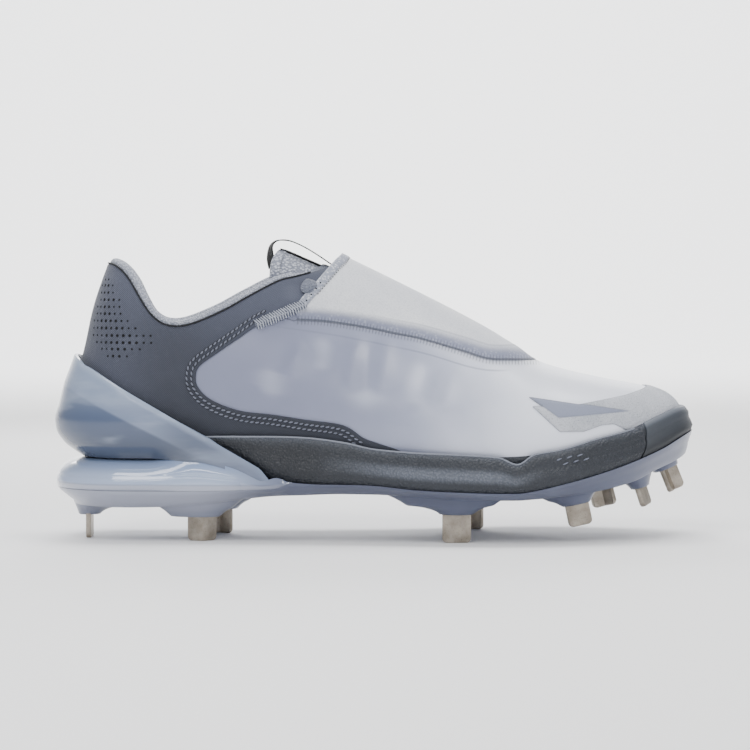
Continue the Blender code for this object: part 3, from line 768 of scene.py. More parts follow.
toeRows = table(
    "along up",
    (0.965, 0.345),
    (0.940, 0.302),
    (0.917, 0.270),
    (0.885, 0.241),
    (0.812, 0.199),
    (0.757, 0.187),
    (0.737, 0.196),
    (0.780, 0.054),
    (0.817, 0.054),
    (0.845, 0.086),
    (0.865, 0.091),
    (0.889, 0.050),
    (0.897, -0.060),
    (0.910, -0.250),
)
clipRows = table(
    "along up",
    (0.020, 0.500),
    (0.043, 0.437),
    (0.051, 0.414),
    (0.068, 0.386),
    (0.129, 0.257),
)
clipTailRows = table("along up", (0.129, 0.257), (0.246, 0.015), (0.325, -0.148), (0.350, -0.260))
bumperRows = table(
    "along up",
    (0.921, 0.200),
    (0.920, 0.072),
    (0.916, -0.032),
    (0.909, -0.078),
    (0.890, -0.250),
)
tongueRows = table("along up", (0.340, 0.60), (0.341, 0.86), (0.344, 0.98), (0.357, 1.040), (0.372, 1.10))
loopRows = table(
    "along up",
    (0.3405, 0.945),
    (0.3365, 1.000),
    (0.3370, 1.060),
    (0.3440, 1.092),
    (0.3560, 1.100),
    (0.3700, 1.092),
    (0.3900, 1.060),
    (0.4130, 1.010),
    (0.4400, 0.944),
    (0.4600, 0.900),
)
lowerRows = table(
    "along up",
    (0.351, 0.622),
    (0.447, 0.571),
    (0.569, 0.483),
    (0.671, 0.386),
    (0.771, 0.407),
)
throatRows = table(
    "share reach",
    (0.320, 0.62),
    (0.385, 0.62),
    (0.440, 0.52),
    (0.500, 0.42),
    (0.600, 0.28),
    (0.660, 0.20),
    (0.690, 0.10),
)
collarPath, panelPath = curve(collarRows), curve(panelRows)
coverRearPath, coverEdgePath = curve(coverRearRows), curve(coverEdgeRows)
loopPath = curve(loopRows)


def corners(*spots):
    return np.stack(sidePlace(*np.array(spots).T), -1)


patchCorners = corners((0.733, 0.241), (0.887, 0.156), (0.778, 0.128))


def sideSpots(points, skewed=False):
    x = points[..., 0]
    if skewed:
        x = x - shoe["collarSkew"] * (points[..., 1] - shoe["collarSide"])
    return np.stack([x, points[..., 2]], -1).reshape(-1, 2)


# how far past the shoe's ends the outlines run on, in side view
behind, inFront = -0.4, 0.3


def collarKeep(points):
    top = upperLevel(2)
    polygon = np.vstack([collarPath, [[collarPath[-1, 0], top], [behind, top], [behind, collarPath[0, 1]]]])
    return -within(sideSpots(points, True), polygon).reshape(points.shape[:-1])


def panelKeep(points):
    top = upperLevel(2)
    polygon = np.vstack([panelPath, [[behind, panelPath[-1, 1]], [behind, top], [panelPath[0, 0], top]]])
    return within(sideSpots(points), polygon).reshape(points.shape[:-1])


def coverKeep(points):
    polygon = np.vstack([coverEdgePath, [[coverEdgePath[-1, 0], coverRearPath[0, 1]]], coverRearPath[:-1]])
    return within(sideSpots(points), polygon).reshape(points.shape[:-1])


def toeKeep(points):
    rows = np.stack(sidePlace(toeRows["along"], toeRows["up"]), -1)
    polygon = np.vstack([rows, [[inFront, rows[-1, 1]], [inFront, rows[0, 1]]]])
    spots = sideSpots(points)
    return np.maximum(within(spots, polygon), within(spots, patchCorners)).reshape(points.shape[:-1])


def throatKeep(a, w, points):
    share, roundness, _ = station(a)
    middle = (read(plan, "centre", share) + read(last, "ridge", share) * roundness) * shoe["ballWidth"]
    edge = planY(share, roundness, w <= 2, shoe["sideWall"])
    reach = np.abs(points[..., 1] - middle) / np.abs(edge - middle)
    across = (reach - read(throatRows, "reach", share)) * 0.04
    ahead = (share - throatRows["share"][-1]) * shoe["length"]
    return np.where((w > 1) & (w < 3), np.maximum(across, ahead), 0.02)


def pathField(points, path):
    far, run, hand = toPath(sideSpots(points), path)
    shape = points.shape[:-1]
    return (far * hand).reshape(shape) * 1000, run.reshape(shape) * 1000


film = {
    "rear": shade("777c94"),
    "middle": shade("a4aac0"),
    "front": shade("e4e8f4"),
    "lining": shade("6c7182"),
}


def filmFinish():
    finish = Finish("film", Specular_IOR_Level=0.5, Coat_Roughness=0.22)
    place = finish.place()
    x, _, z = finish.parts(place)
    soft = finish.noise(place, 22, 3)
    share = (x + soft * 0.05 - 0.025).ramp(-0.055, 0.075)
    finish.color = finish.mix(share, film["rear"], film["middle"])
    finish.lay((x + soft * 0.04).ramp(0.03, 0.10), film["front"])
    # painted highlight on the folds' ridges and painted shade in their hollows
    fold = finish.field("fold")
    finish.lay(fold.ramp(0.0, 1.0) * 0.9, "ccd1e2")
    finish.lay((-fold).ramp(0.0, 1.0) * 0.6, "70758c")
    # painted shade: darker towards the bottom of the film
    finish.lay(z.ramp(0.052, 0.034) * 0.35, "7d8196")
    seam, run = finish.field("seam"), finish.field("run")
    shown = 1 - run.ramp(111, 117)
    line = (1 - seam.size().ramp(0.25, 0.95)) * shown
    ribs = (run * (math.pi * 2 / 1.5)).sine().ramp(-0.2, 0.9) * (1 - seam.size().ramp(1.5, 2.6)) * shown
    shadow = (1 - seam.size().ramp(0.4, 3.6)) * 0.4 * shown
    finish.lay(shadow, "6f7488")
    finish.lay(ribs * 0.55, "4e5364")
    finish.lay(line * 0.7, "484d5b")
    under = finish.field("under")
    finish.lay((1 - under.size().ramp(0.15, 0.6)) * (1 - x.ramp(0.054, 0.064)) * 0.5, "6f7489")
    finish.lay(finish.field("inside"), film["lining"])
    grain = finish.cells(place, 1900)
    fine = finish.noise(place, 900, 2)
    bumps = finish.bump(soft * 0.6 + finish.noise(place, 70, 3) * 0.25, 0.5, 0.0016)
    bumps = finish.bump(grain * 0.5 + fine * 0.5, 0.12, 0.0002, bumps)
    bumps = finish.bump(-line - ribs * 0.5, 0.8, 0.0003, bumps)
    rough = 0.30 + finish.noise(place, 160, 2) * 0.14 + finish.field("inside") * 0.4
    coat = 0.45 - finish.field("inside") * 0.45
    return finish.wear(Roughness=rough, Normal=bumps, Coat_Weight=coat)


# the panel's colours for its painted light, from shaded low to lit high, and the weave's pitch in
# millimetres
twill = {
    "low": shade("333742"),
    "middle": shade("3d414e"),
    "high": shade("565b6d"),
    "thread": 0.78,
}


def twillFinish():
    finish = Finish("twill", Specular_IOR_Level=0.35, Sheen_Weight=0.12, Sheen_Roughness=0.5)
    place = finish.place()
    x, _, z = finish.parts(place)
    u, v, _ = finish.parts(finish.vector("flat"))
    k = math.pi * 2 / twill["thread"]
    diagonal = ((u + v) * k).sine() * 0.5 + 0.5
    dots = ((u - v) * (k * 0.5)).sine().size()
    weave = diagonal * (dots * 0.6 + 0.4)
    cloud = finish.noise(place, 28, 4)
    height = z + cloud * 0.016 - 0.008
    # painted light: darker low on the panel, lighter high up and towards the heel, with a painted sheen
    # near the top
    finish.color = finish.mix(height.ramp(0.050, 0.092), twill["low"], twill["middle"])
    finish.lay((height + x * 0.18).ramp(0.068, 0.108), twill["high"])
    sheen = finish.noise(finish.stretched(place, Scale=(30, 30, 70)), 1.2, 2)
    finish.lay(sheen.ramp(0.55, 0.75) * z.ramp(0.07, 0.10) * 0.3, "747a8e")
    finish.lay(x.ramp(-0.090, -0.135) * 0.65, "5a5f71")
    finish.lay((1 - weave) * 0.6, "1f222a")
    finish.lay(weave.ramp(0.75, 1.0) * 0.16, "9499ab")
    # painted shade along the panel's cut edge
    edge = 1 - finish.field("rim").ramp(0.0, 0.7)
    finish.lay(edge * 0.35, "2c2f38")
    bumps = finish.bump(weave, 0.7, 0.00022)
    bumps = finish.bump(cloud, 0.25, 0.002, bumps)
    return finish.wear(Roughness=0.66 + cloud * 0.12, Normal=bumps)


def coverFinish():
    finish = Finish("cover", Specular_IOR_Level=0.4, Sheen_Weight=0.1, Coat_Roughness=0.4)
    place = finish.place()
    x, _, _ = finish.parts(place)
    cloud = finish.noise(place, 35, 4)
    seam, run = finish.field("seam"), finish.field("run")
    rear = finish.field("rear")
    fine = finish.noise(place, 1300, 3, 0.7)
    finish.color = finish.mix(cloud.ramp(0.3, 0.75), shade("c9ccd4"), shade("dadcdf"))
    finish.lay(fine.ramp(0.45, 0.62) * 0.28, "979ca9")
    # painted shadow: a darker band above the seam
    band = 1 - seam.ramp(2.2, 6.4)
    finish.lay(band * 0.9, "6b718a")
    pattern = finish.cells(place, 620).ramp(0.5, 0.1) * band
    finish.lay(pattern * 0.3, "b9bdcb")
    edge = (1 - (seam - 5.4).size().ramp(0.15, 0.5)) * x.ramp(-0.01, 0.03)
    finish.lay(edge * 0.3, "6e7385")
    ribs = (run * (math.pi * 2 / 1.5)).sine().ramp(-0.2, 0.9) * (1 - seam.ramp(1.2, 2.4))
    line = 1 - seam.ramp(0.25, 0.9)
    finish.lay(ribs * 0.55, "50556a")
    finish.lay(line * 0.85, "3f434f")
    strip = (1 - rear.ramp(3.7, 4.0)) * seam.ramp(3.0, 6.0)
    felt = finish.cells(place, 780).ramp(0.55, 0.1)
    finish.lay(strip, finish.mix(felt, shade("888d9c"), shade("c6c9d2")))
    # painted highlight along the binding's rear edge
    finish.lay((1 - rear.ramp(0.0, 0.9)) * strip * 0.4, "d8dae0")
    # painted shade in the groove in front of the binding
    groove = (1 - (rear - 4.0).size().ramp(0.1, 0.5)) * seam.ramp(3.0, 6.0)
    finish.lay(groove * 0.6, "5d6272")
    finish.lay(finish.field("inside"), "8c91a0")
    bumps = finish.bump(fine, 0.3, 0.00015)
    bumps = finish.bump(felt * strip - ribs * 0.5 - groove, 0.4, 0.0003, bumps)
    bumps = finish.bump(cloud, 0.3, 0.0015, bumps)
    return finish.wear(Roughness=0.55 + fine * 0.12, Normal=bumps)


def gritFinish():
    finish = Finish("grit", Specular_IOR_Level=0.45)
    place = finish.place()
    cloud = finish.noise(place, 45, 4)
    grains = finish.cells(place, 900)
    dust = finish.noise(place, 1600, 2, 0.8)
    inPatch = finish.field("patch").ramp(-0.3, 0.3)
    finish.color = finish.mix(cloud.ramp(0.3, 0.7), shade("9ea2ab"), shade("b6b9c1"))
    specks = dust.ramp(0.60, 0.66)
    finish.lay(specks * 0.6, "6d717c")
    finish.lay(dust.ramp(0.60, 0.30) * 0.25, "dcdfe5")
    plain = finish.mix(dust.ramp(0.4, 0.6) * 0.2, shade("7f8598"), shade("70768a"))
    finish.lay(inPatch, plain)
    ring = 1 - finish.field("patch").size().ramp(0.1, 0.5)
    finish.lay(ring * 0.5, "6e7484")
    # painted shade along the overlay's cut edge
    finish.lay((1 - finish.field("rim").ramp(0.0, 0.6)) * 0.45, "70747f")
    rough = 0.86 - inPatch * 0.3
    bumps = finish.bump((1 - grains) * (1 - inPatch * 0.85), 0.7, 0.0004)
    bumps = finish.bump(-ring, 0.5, 0.0003, bumps)
    return finish.wear(Roughness=rough, Normal=bumps)


def chunkyFinish(name, size, light, dark):
    # raised loops of an uneven size, each with a hollow beside it in painted shade
    finish = Finish(name, Specular_IOR_Level=0.25, Sheen_Weight=0.25, Sheen_Roughness=0.6)
    place = finish.place()
    scaled = finish.stretched(place, Scale=(1, 0.7, 1.25), Rotation=(0, 0.5, 0))
    loops = finish.cells(scaled, 1 / size, random=0.75)
    fuzz = finish.noise(place, 2600, 2, 0.8)
    cloud = finish.noise(place, 60, 3)
    height = 1 - loops.ramp(0.0, 0.75)
    # painted shade: the hollows darker than the loops' tops
    finish.color = finish.mix(height.ramp(0.1, 0.6), dark, light)
    finish.lay(fuzz.ramp(0.45, 0.7) * 0.3, "e9ebf0")
    finish.lay(cloud.ramp(0.4, 0.7) * 0.2, dark)
    bumps = finish.bump(height + fuzz * 0.2, 0.9, size * 0.45)
    return finish.wear(Roughness=0.88 + cloud * 0.08, Normal=bumps)


def linerFinish():
    finish = Finish("sock_liner", Specular_IOR_Level=0.25, Sheen_Weight=0.2)
    place = finish.place()
    pores = finish.cells(place, 330)
    mesh = pores.ramp(0.30, 0.16)
    cloud = finish.noise(place, 40, 3)
    finish.color = finish.mix(cloud.ramp(0.3, 0.7), shade("3c404b"), shade("4b505d"))
    finish.lay(mesh * 0.7, "202229")
    bumps = finish.bump(-mesh, 0.5, 0.0004)
    return finish.wear(Roughness=0.85 + cloud * 0.1, Normal=bumps)


def webbingFinish():
    finish = Finish("webbing", Specular_IOR_Level=0.25, Sheen_Weight=0.05, Sheen_Roughness=0.5)
    place = finish.place()
    u, v, _ = finish.parts(finish.vector("flat"))
    ribs = (u * (math.pi * 2 / 0.75)).sine() * 0.5 + 0.5
    warp = (v * (math.pi * 2 / 0.9)).sine().size()
    cloud = finish.noise(place, 900, 3)
    finish.color = finish.mix(ribs * warp, shade("08090b"), shade("17181c"))
    finish.lay(cloud.ramp(0.55, 0.75) * 0.3, "24262b")
    bumps = finish.bump(ribs * 0.6 + warp * 0.4, 0.8, 0.0003)
    return finish.wear(Roughness=0.8 + cloud * 0.1, Normal=bumps)


def laceFinish():
    finish = Finish("lace", Specular_IOR_Level=0.3, Sheen_Weight=0.25)
    place = finish.place()
    u, v, _ = finish.parts(finish.vector("flat"))
    braid = ((u + v.size() * 0.8) * (math.pi * 2 / 0.9)).sine() * 0.5 + 0.5
    cloud = finish.noise(place, 1500, 2)
    finish.color = finish.mix(braid, shade("434856"), shade("777d8e"))
    finish.lay(cloud.ramp(0.5, 0.7) * 0.2, "d5d8df")
    bumps = finish.bump(braid, 0.8, 0.0003)
    return finish.wear(Roughness=0.8 + cloud * 0.1, Normal=bumps)


def foamFinish():
    finish = Finish("side_foam", Specular_IOR_Level=0.4, Coat_Roughness=0.4)
    place = finish.place()
    x, _, _ = finish.parts(place)
    rise = finish.field("rise")
    cloud = finish.noise(place, 30, 4)
    pebbles = finish.cells(place, 950)
    fine = finish.noise(place, 700, 3)
    finish.color = finish.mix(cloud.ramp(0.25, 0.75), shade("262a31"), shade("2e323a"))
    # painted light: lighter along the top, darker low down and towards the heel, and a painted highlight
    # patch where the wall bulges mid-length
    finish.lay(rise.ramp(0.84, 0.98) * 0.6, "4c515c")
    finish.lay(rise.ramp(0.45, 0.0) * 0.35, "22252c")
    finish.lay(x.ramp(0.0, -0.04) * rise.ramp(0.9, 0.7) * 0.6, "14161b")
    lit = x.ramp(-0.03, 0.02) * x.ramp(0.08, 0.05) * rise.ramp(0.22, 0.42) * rise.ramp(0.72, 0.5)
    finish.lay(lit * 0.75, "666c79")
    finish.lay(pebbles.ramp(0.25, 0.55) * 0.3, "1d2026")
    bumps = finish.bump(1 - pebbles, 0.85, 0.0005)
    bumps = finish.bump(cloud * 0.7 + fine * 0.3, 0.3, 0.0012, bumps)
    rough = 0.34 + fine * 0.14
    return finish.wear(Roughness=rough, Normal=bumps)


def bumperFinish():
    finish = Finish("bumper", Specular_IOR_Level=0.45, Coat_Roughness=0.3)
    place = finish.place()
    rise = finish.field("rise")
    cloud = finish.noise(place, 40, 3)
    fine = finish.noise(place, 1800, 2)
    # painted light: darker low, lighter high, with a painted highlight along the top edge
    finish.color = finish.mix(rise.ramp(0.0, 0.85), shade("191c21"), shade("393e46"))
    finish.lay(rise.ramp(0.86, 0.98) * 0.5, "777d89")
    finish.lay(fine.ramp(0.45, 0.7) * 0.1, "22252b")
    bumps = finish.bump(cloud, 0.25, 0.001)
    bumps = finish.bump(fine, 0.15, 0.0001, bumps)
    return finish.wear(Roughness=0.50 + fine * 0.12, Normal=bumps, Coat_Weight=0.03 + cloud * 0.05)


def clipFinish():
    finish = Finish("clip", Specular_IOR_Level=0.4, Coat_Roughness=0.12)
    place = finish.place()
    x, _, z = finish.parts(place)
    level = (z - 0.0385) / 0.047
    cloud = finish.noise(place, 26, 3)
    streaks = finish.noise(finish.stretched(place, Scale=(14, 14, 60)), 1.6, 3)
    # painted light: darker low and lighter towards the top
    finish.color = finish.mix(level.ramp(-0.05, 0.45), shade("454d5e"), shade("4c5872"))
    finish.lay(level.ramp(0.35, 0.85), "7c8aa3")
    # painted highlight above a diagonal line, as on a lit facet
    facetHighlight = (z + x * 0.508 + 0.0016).ramp(-0.0008, 0.0010)
    fading = x.ramp(-0.082, -0.108) * 0.36 + 0.08
    finish.lay(facetHighlight * fading, "93a1ba")
    # painted highlight along the clip's cut edge
    finish.lay((1 - finish.field("rim").ramp(0.3, 3.4)) * 0.6, "9caac0")
    finish.lay(streaks.ramp(0.48, 0.72) * 0.4, "a3afc3")
    finish.lay(cloud.ramp(0.55, 0.8) * 0.3, "42506c")
    finish.lay(x.ramp(-0.095, -0.06) * level.ramp(0.5, 0.1) * 0.6, "69748d")
    bumps = finish.bump(cloud * 0.7 + streaks * 0.3, 0.25, 0.0016)
    return finish.wear(Roughness=0.20 + cloud * 0.06, Normal=bumps, Coat_Weight=0.28 + cloud * 0.12)


def airFinish():
    finish = Finish("air", Specular_IOR_Level=0.55, Coat_Roughness=0.04)
    place = finish.place()
    x, _, z = finish.parts(place)
    level = (z - 0.0245) / 0.0137
    cloud = finish.noise(place, 22, 3)
    finish.color = finish.mix(level.ramp(0.14, 0.22), shade("9a9fb0"), shade("a0aec9"))
    finish.lay(level.ramp(0.35, 0.9), "8496b8")
    finish.lay((1 - (level - 0.18).size().ramp(0.0, 0.05)) * 0.6, "737b91")
    finish.lay(cloud.ramp(0.5, 0.75) * 0.4, "bcc7db")
    finish.lay(x.ramp(-0.075, -0.038) * 0.9, "5d6379")
    bumps = finish.bump(cloud, 0.18, 0.0014)
    return finish.wear(Roughness=0.08 + cloud * 0.05, Normal=bumps, Coat_Weight=0.8 + cloud * 0.1)


def plateFinish():
    finish = Finish("plate", Specular_IOR_Level=0.45, Coat_Roughness=0.18)
    place = finish.place()
    x, _, z = finish.parts(place)
    cloud = finish.noise(place, 24, 4)
    fine = finish.noise(place, 1400, 2)
    finish.color = finish.mix(cloud.ramp(0.3, 0.7), shade("3f4459"), shade("50566c"))
    finish.lay(x.ramp(-0.038, -0.085) * 0.85, "9a9eae")
    finish.lay(x.ramp(0.10, 0.14) * 0.4, "62687f")
    arch = x.ramp(-0.045, -0.02) * x.ramp(0.05, 0.02)
    finish.lay(arch * 0.6, "464b60")
    finish.lay(finish.field("boss").ramp(0.2, 0.9) * 0.3, "5a6077")
    finish.lay(z.ramp(0.022, 0.013) * 0.3, "545a70")
    bumps = finish.bump(cloud, 0.45, 0.0016)
    bumps = finish.bump(fine, 0.1, 0.00008, bumps)
    return finish.wear(Roughness=0.26 + cloud * 0.1, Normal=bumps, Coat_Weight=0.3 + cloud * 0.1)


def metalFinish():
    finish = Finish("metal", Specular_IOR_Level=0.5)
    place = finish.place()
    cloud = finish.noise(place, 160, 4)
    drawn = finish.noise(finish.stretched(place, Scale=(3, 3, 0.4)), 900, 2)
    pits = finish.noise(place, 1500, 2, 0.8)
    finish.color = finish.mix(cloud.ramp(0.25, 0.75), shade("8f877c"), shade("b8afa3"))
    finish.lay(pits.ramp(0.58, 0.7) * 0.5, "57524b")
    bumps = finish.bump(drawn * 0.5 + pits * 0.5, 0.25, 0.00012)
    rough = 0.36 + cloud * 0.18
    return finish.wear(Roughness=rough, Normal=bumps, Metallic=0.92 + pits * 0.05)


def threadFinish(name, light, dark, strand=0.35):
    finish = Finish(name, Specular_IOR_Level=0.3, Sheen_Weight=0.2)
    place = finish.place()
    x, y, z = finish.parts(place)
    twist = ((x + z * 1.3 + y * 0.6) * (math.pi * 2000 / strand)).sine() * 0.5 + 0.5
    finish.color = finish.mix(twist, dark, light)
    bumps = finish.bump(twist, 0.5, 0.0001)
    return finish.wear(Roughness=0.7 + twist * 0.1, Normal=bumps)


def darkFinish(name, color, roughness):
    finish = Finish(name, Specular_IOR_Level=0.3)
    place = finish.place()
    cloud = finish.noise(place, 900, 3)
    finish.color = finish.mix(cloud.ramp(0.4, 0.7), color, [c * 1.9 + 0.004 for c in color])
    return finish.wear(Roughness=roughness + cloud * 0.1, Normal=finish.bump(cloud, 0.4, 0.0002))


finishes = {
    "film": filmFinish(),
    "twill": twillFinish(),
    "cover": coverFinish(),
    "grit": gritFinish(),
    "knit": chunkyFinish("knit", 0.0010, shade("a9aebb"), shade("767b8a")),
    "tongueKnit": chunkyFinish("tongue_knit", 0.0014, shade("b2b7c4"), shade("6a6f7f")),
    "liner": linerFinish(),
    "lace": laceFinish(),
    "webbing": webbingFinish(),
    "foam": foamFinish(),
    "bumper": bumperFinish(),
    "clip": clipFinish(),
    "air": airFinish(),
    "plate": plateFinish(),
    "metal": metalFinish(),
    "binding": darkFinish("binding", shade("17181c"), 0.75),
    # near-black discs of painted shade that stand for the inside of punched holes
    "hole_shade": darkFinish("hole_shade", shade("0c0d10"), 0.9),
    "piping": threadFinish("piping", shade("8b909c"), shade("6f7480")),
    "thread": threadFinish("thread", shade("7f8495"), shade("4f5361")),
    "darkThread": threadFinish("dark_thread", shade("2f323b"), shade("1a1c22")),
    "paleThread": threadFinish("pale_thread", shade("c3c8d3"), shade("858a9a")),
}
print("finishes ready")


filmCut = {"cell": 0.00135, "wall": 0.002, "creaseWidth": 0.0042}
creases = (
    ((0.474, 0.606), (0.466, 0.400), (0.462, 0.225), -0.55),
    ((0.495, 0.579), (0.489, 0.330), (0.486, 0.116), 0.50),
    ((0.520, 0.606), (0.511, 0.400), (0.505, 0.225), -0.45),
    ((0.588, 0.470), (0.574, 0.320), (0.556, 0.160), 0.45),
    ((0.617, 0.420), (0.606, 0.280), (0.593, 0.150), -0.40),
    ((0.345, 0.420), (0.342, 0.320), (0.340, 0.215), 0.35),
    ((0.395, 0.560), (0.378, 0.450), (0.368, 0.330), -0.35),
    ((0.436, 0.580), (0.425, 0.480), (0.420, 0.340), 0.35),
    ((0.650, 0.400), (0.640, 0.260), (0.628, 0.120), 0.30),
    ((0.300, 0.330), (0.296, 0.260), (0.298, 0.200), -0.25),
)


def creaseField(points, width):
    found = np.zeros(points.shape[:2])
    spots = sideSpots(points)
    for *stops, depth in creases:
        path = evenly(corners(*stops), 0.002)
        far, run, _ = toPath(spots, path)
        whole = np.linalg.norm(path[-1] - path[0])
        fade = smooth(run / (0.3 * whole)) * smooth((whole - run) / (0.3 * whole))
        found += (depth / 1000 * fade * np.exp(-((far / width) ** 2))).reshape(found.shape)
    return found


aGrid, wGrid, base = lastLattice(filmCut["cell"])
normals = latticeNormals(base, (0, -1))
seam, run = pathField(base, coverEdgePath)
under, _ = pathField(base, curve(lowerRows))
sideOnly = smooth((np.abs(base[..., 1]) - 0.012) / 0.012)
folds = creaseField(base, filmCut["creaseWidth"]) * sideOnly
# the folds' painted light and shade, spread wider than the creases themselves
foldShadingField = creaseField(base, 2.1 * filmCut["creaseWidth"]) * sideOnly * 1000
keep = np.minimum(collarKeep(base), throatKeep(aGrid, wGrid, base))
upper = shell(
    "upper_film",
    base,
    normals,
    keep,
    folds[..., None],
    folds[..., None] - filmCut["wall"],
    finishes["film"],
    {"seam": seam, "run": run, "under": under, "fold": foldShadingField},
)
print("film made")

panelCut = {"cell": 0.0010, "low": 0.00005, "high": 0.00115}
base = lastLattice(panelCut["cell"], (0, 1.75))[2]
normals = latticeNormals(base, (0,))
keep = np.minimum(panelKeep(base), collarKeep(base))
keep = np.minimum(keep, np.where(base[..., 0] > -0.06, upperLevel(0.945) - base[..., 2], 1))
roundOff = smooth(keep / 0.0009)[..., None]
panel = shell(
    "twill_panel",
    base,
    normals,
    keep,
    panelCut["low"] + (panelCut["high"] - panelCut["low"]) * (0.55 + 0.45 * roundOff),
    np.full_like(roundOff, panelCut["low"]),
    finishes["twill"],
    {"flat": flatCoords(base, True)},
)

# the seam's slope and the binding's strip are in millimetres from the cover's edges
coverCut = {
    "cell": 0.00115,
    "thick": 0.0010,
    "lift": 0.00022,
    "slope": 5.5,
    "binding": 0.0007,
    "strip": 3.4,
}
base = lastLattice(coverCut["cell"], (1.25, 2.35), (0.7, 3.3))[2]
normals = latticeNormals(base)
seam, run = pathField(base, coverEdgePath)
rear, _ = pathField(base, coverRearPath)
rear = np.abs(rear)
keep = coverKeep(base)
bound = (1 - smooth((rear - coverCut["strip"]) / 0.9)) * smooth((seam - 3) / 3)
thick = coverCut["thick"] * smooth(seam / coverCut["slope"]) + coverCut["binding"] * bound
cover = shell(
    "lace_cover_skin",
    base,
    normals,
    keep,
    (coverCut["lift"] + thick)[..., None],
    np.full_like(thick, -0.0001)[..., None],
    finishes["cover"],
    {"seam": seam, "run": run, "rear": rear},
)

toeCut = {"cell": 0.0011, "low": 0.0002, "high": 0.0008}
base = lastLattice(toeCut["cell"], (1.9, 3))[2]
normals = latticeNormals(base, (-1,))
keep = toeKeep(base)
patch = within(sideSpots(base), patchCorners).reshape(keep.shape)
roundOff = smooth(keep / 0.0008)[..., None]
overlay = shell(
    "toe_grit",
    base,
    normals,
    keep,
    toeCut["low"] + (toeCut["high"] - toeCut["low"]) * (0.3 + 0.7 * roundOff),
    np.full_like(roundOff, -0.0001),
    finishes["grit"],
    {"patch": patch * 1000},
)
print("panels made")


# insets of the side wall's face, as shares of its thickness
wallFace = {
    "rise": (0, 0.12, 0.30, 0.50, 0.58, 0.80, 1),
    "side": (0.28, 0.12, 0.00, 0.18, 0.30, 0.35, 0.70),
    "heel": (1.95, 1.65, 1.30, 1.10, 1.00, 0.90, 0.80),
}


def footwall(rise, share):
    blend = smooth((share - 0.22) / 0.20)
    side, heel = (np.interp(rise, wallFace["rise"], wallFace[key]) for key in ("side", "heel"))
    return shoe["sideWall"] * (heel + (side - heel) * blend)


foam = {
    "rises": (0, 0.03, 0.07, 0.12, 0.2, 0.3, 0.4, 0.5, 0.54, 0.58, 0.68, 0.8, 0.88, 0.94, 0.98, 1),
    "lip": 0.0005,
    "ledge": 0.008,
    "seamGap": 0.0025,
    "seamInset": 0.0006,
    "seamSample": 2.42,
}


def footSection(a, outer, dropped=0.0):
    # a closed section of the foam's rim: up its face, over the lip, down along the upper and back
    share, _, pull = station(a)
    low, high = soleHeight("foam", share), soleHeight("side", share)
    points, rises = [], []
    for rise in foam["rises"]:
        inset = footwall(rise, share) + dropped
        end = 0.35 * foam["lip"] if rise == 1 else 0
        points.append(ringPoint(a, outer, low + (high - low) * rise, inset + end, inset + end))
        rises.append(rise)
    lip = points[-1].copy()
    top = lip[..., 2]
    inside = lastPoint(a, heightRow(a, top, outer))
    for t, up in ((0.35, 0.00025), (0.7, 0.0002), (1.0, -0.0004)):
        points.append(lip + (inside - lip) * t + np.array([0, 0, 1.0]) * up)
        rises.append(1.0)
    floor = soleHeight("floor", share)
    for t in (0.6, 0.25, 0.0):
        points.append(lastPoint(a, heightRow(a, floor + (top - floor) * t, outer)))
        rises.append(0.5)
    deep = points[-1].copy()
    centre = read(plan, "centre", share) * shoe["ballWidth"]
    middle = np.stack([deep[..., 0] + pull * foam["ledge"], centre, floor], -1)
    inner = deep + (middle - deep) * 0.25
    points.append(inner)
    points.append(np.concatenate([inner[..., :2], (low + 0.0005)[..., None]], -1))
    return np.stack(points, 1), np.array(rises + [0.5, 0.0])


def seamPlace(z, outer):
    x, up = sidePlace(bumperRows["along"], bumperRows["up"])
    target = np.interp(z, up[::-1], x[::-1])
    low, high = np.full(len(z), 2.0), np.full(len(z), 3.0)
    return bisect(low, high, lambda a: ringPoint(a, outer, z, 0.001, 0.001)[:, 0] > target, 24)


def footPiece(name, toePart, material):
    # the rim in front of the toe cap's seam or behind it; the seam follows bumperRows
    samples, rises = footSection(np.array([foam["seamSample"]]), True)
    ends = {outer: seamPlace(samples[0][:, 2], outer) for outer in (True, False)}
    gap = foam["seamGap"]
    if toePart:
        t = np.concatenate([[0, 0.0015], np.linspace(0.006, 1, 64)])
        outerRows = [ends[True] + gap + (3 - ends[True] - gap) * k for k in t]
        innerRows = [-(ends[False] + gap + (3 - ends[False] - gap) * k) for k in t[:-1]]
        signed = outerRows + innerRows[::-1]
    else:
        t = np.concatenate([np.linspace(0, 0.994, 230), [0.9985, 1.0]])
        outerRows = [(ends[True] - gap) * k for k in t]
        innerRows = [-(ends[False] - gap) * k for k in t[1:]]
        signed = innerRows[::-1] + outerRows
    insets = np.zeros(len(signed))
    insets[[0, -1]] = foam["seamInset"]
    points = np.empty((len(signed), len(rises), 3))
    for outer in (True, False):
        for k in range(len(rises)):
            pick = [i for i, s in enumerate(signed) if (s[k] >= 0) == outer]
            a = np.abs(np.array([signed[i][k] for i in pick]))
            points[pick, k] = footSection(a, outer, insets[pick])[0][:, k]
    return sweep(name, points, material, {"rise": np.tile(rises, (len(signed), 1))}, sharp=50)


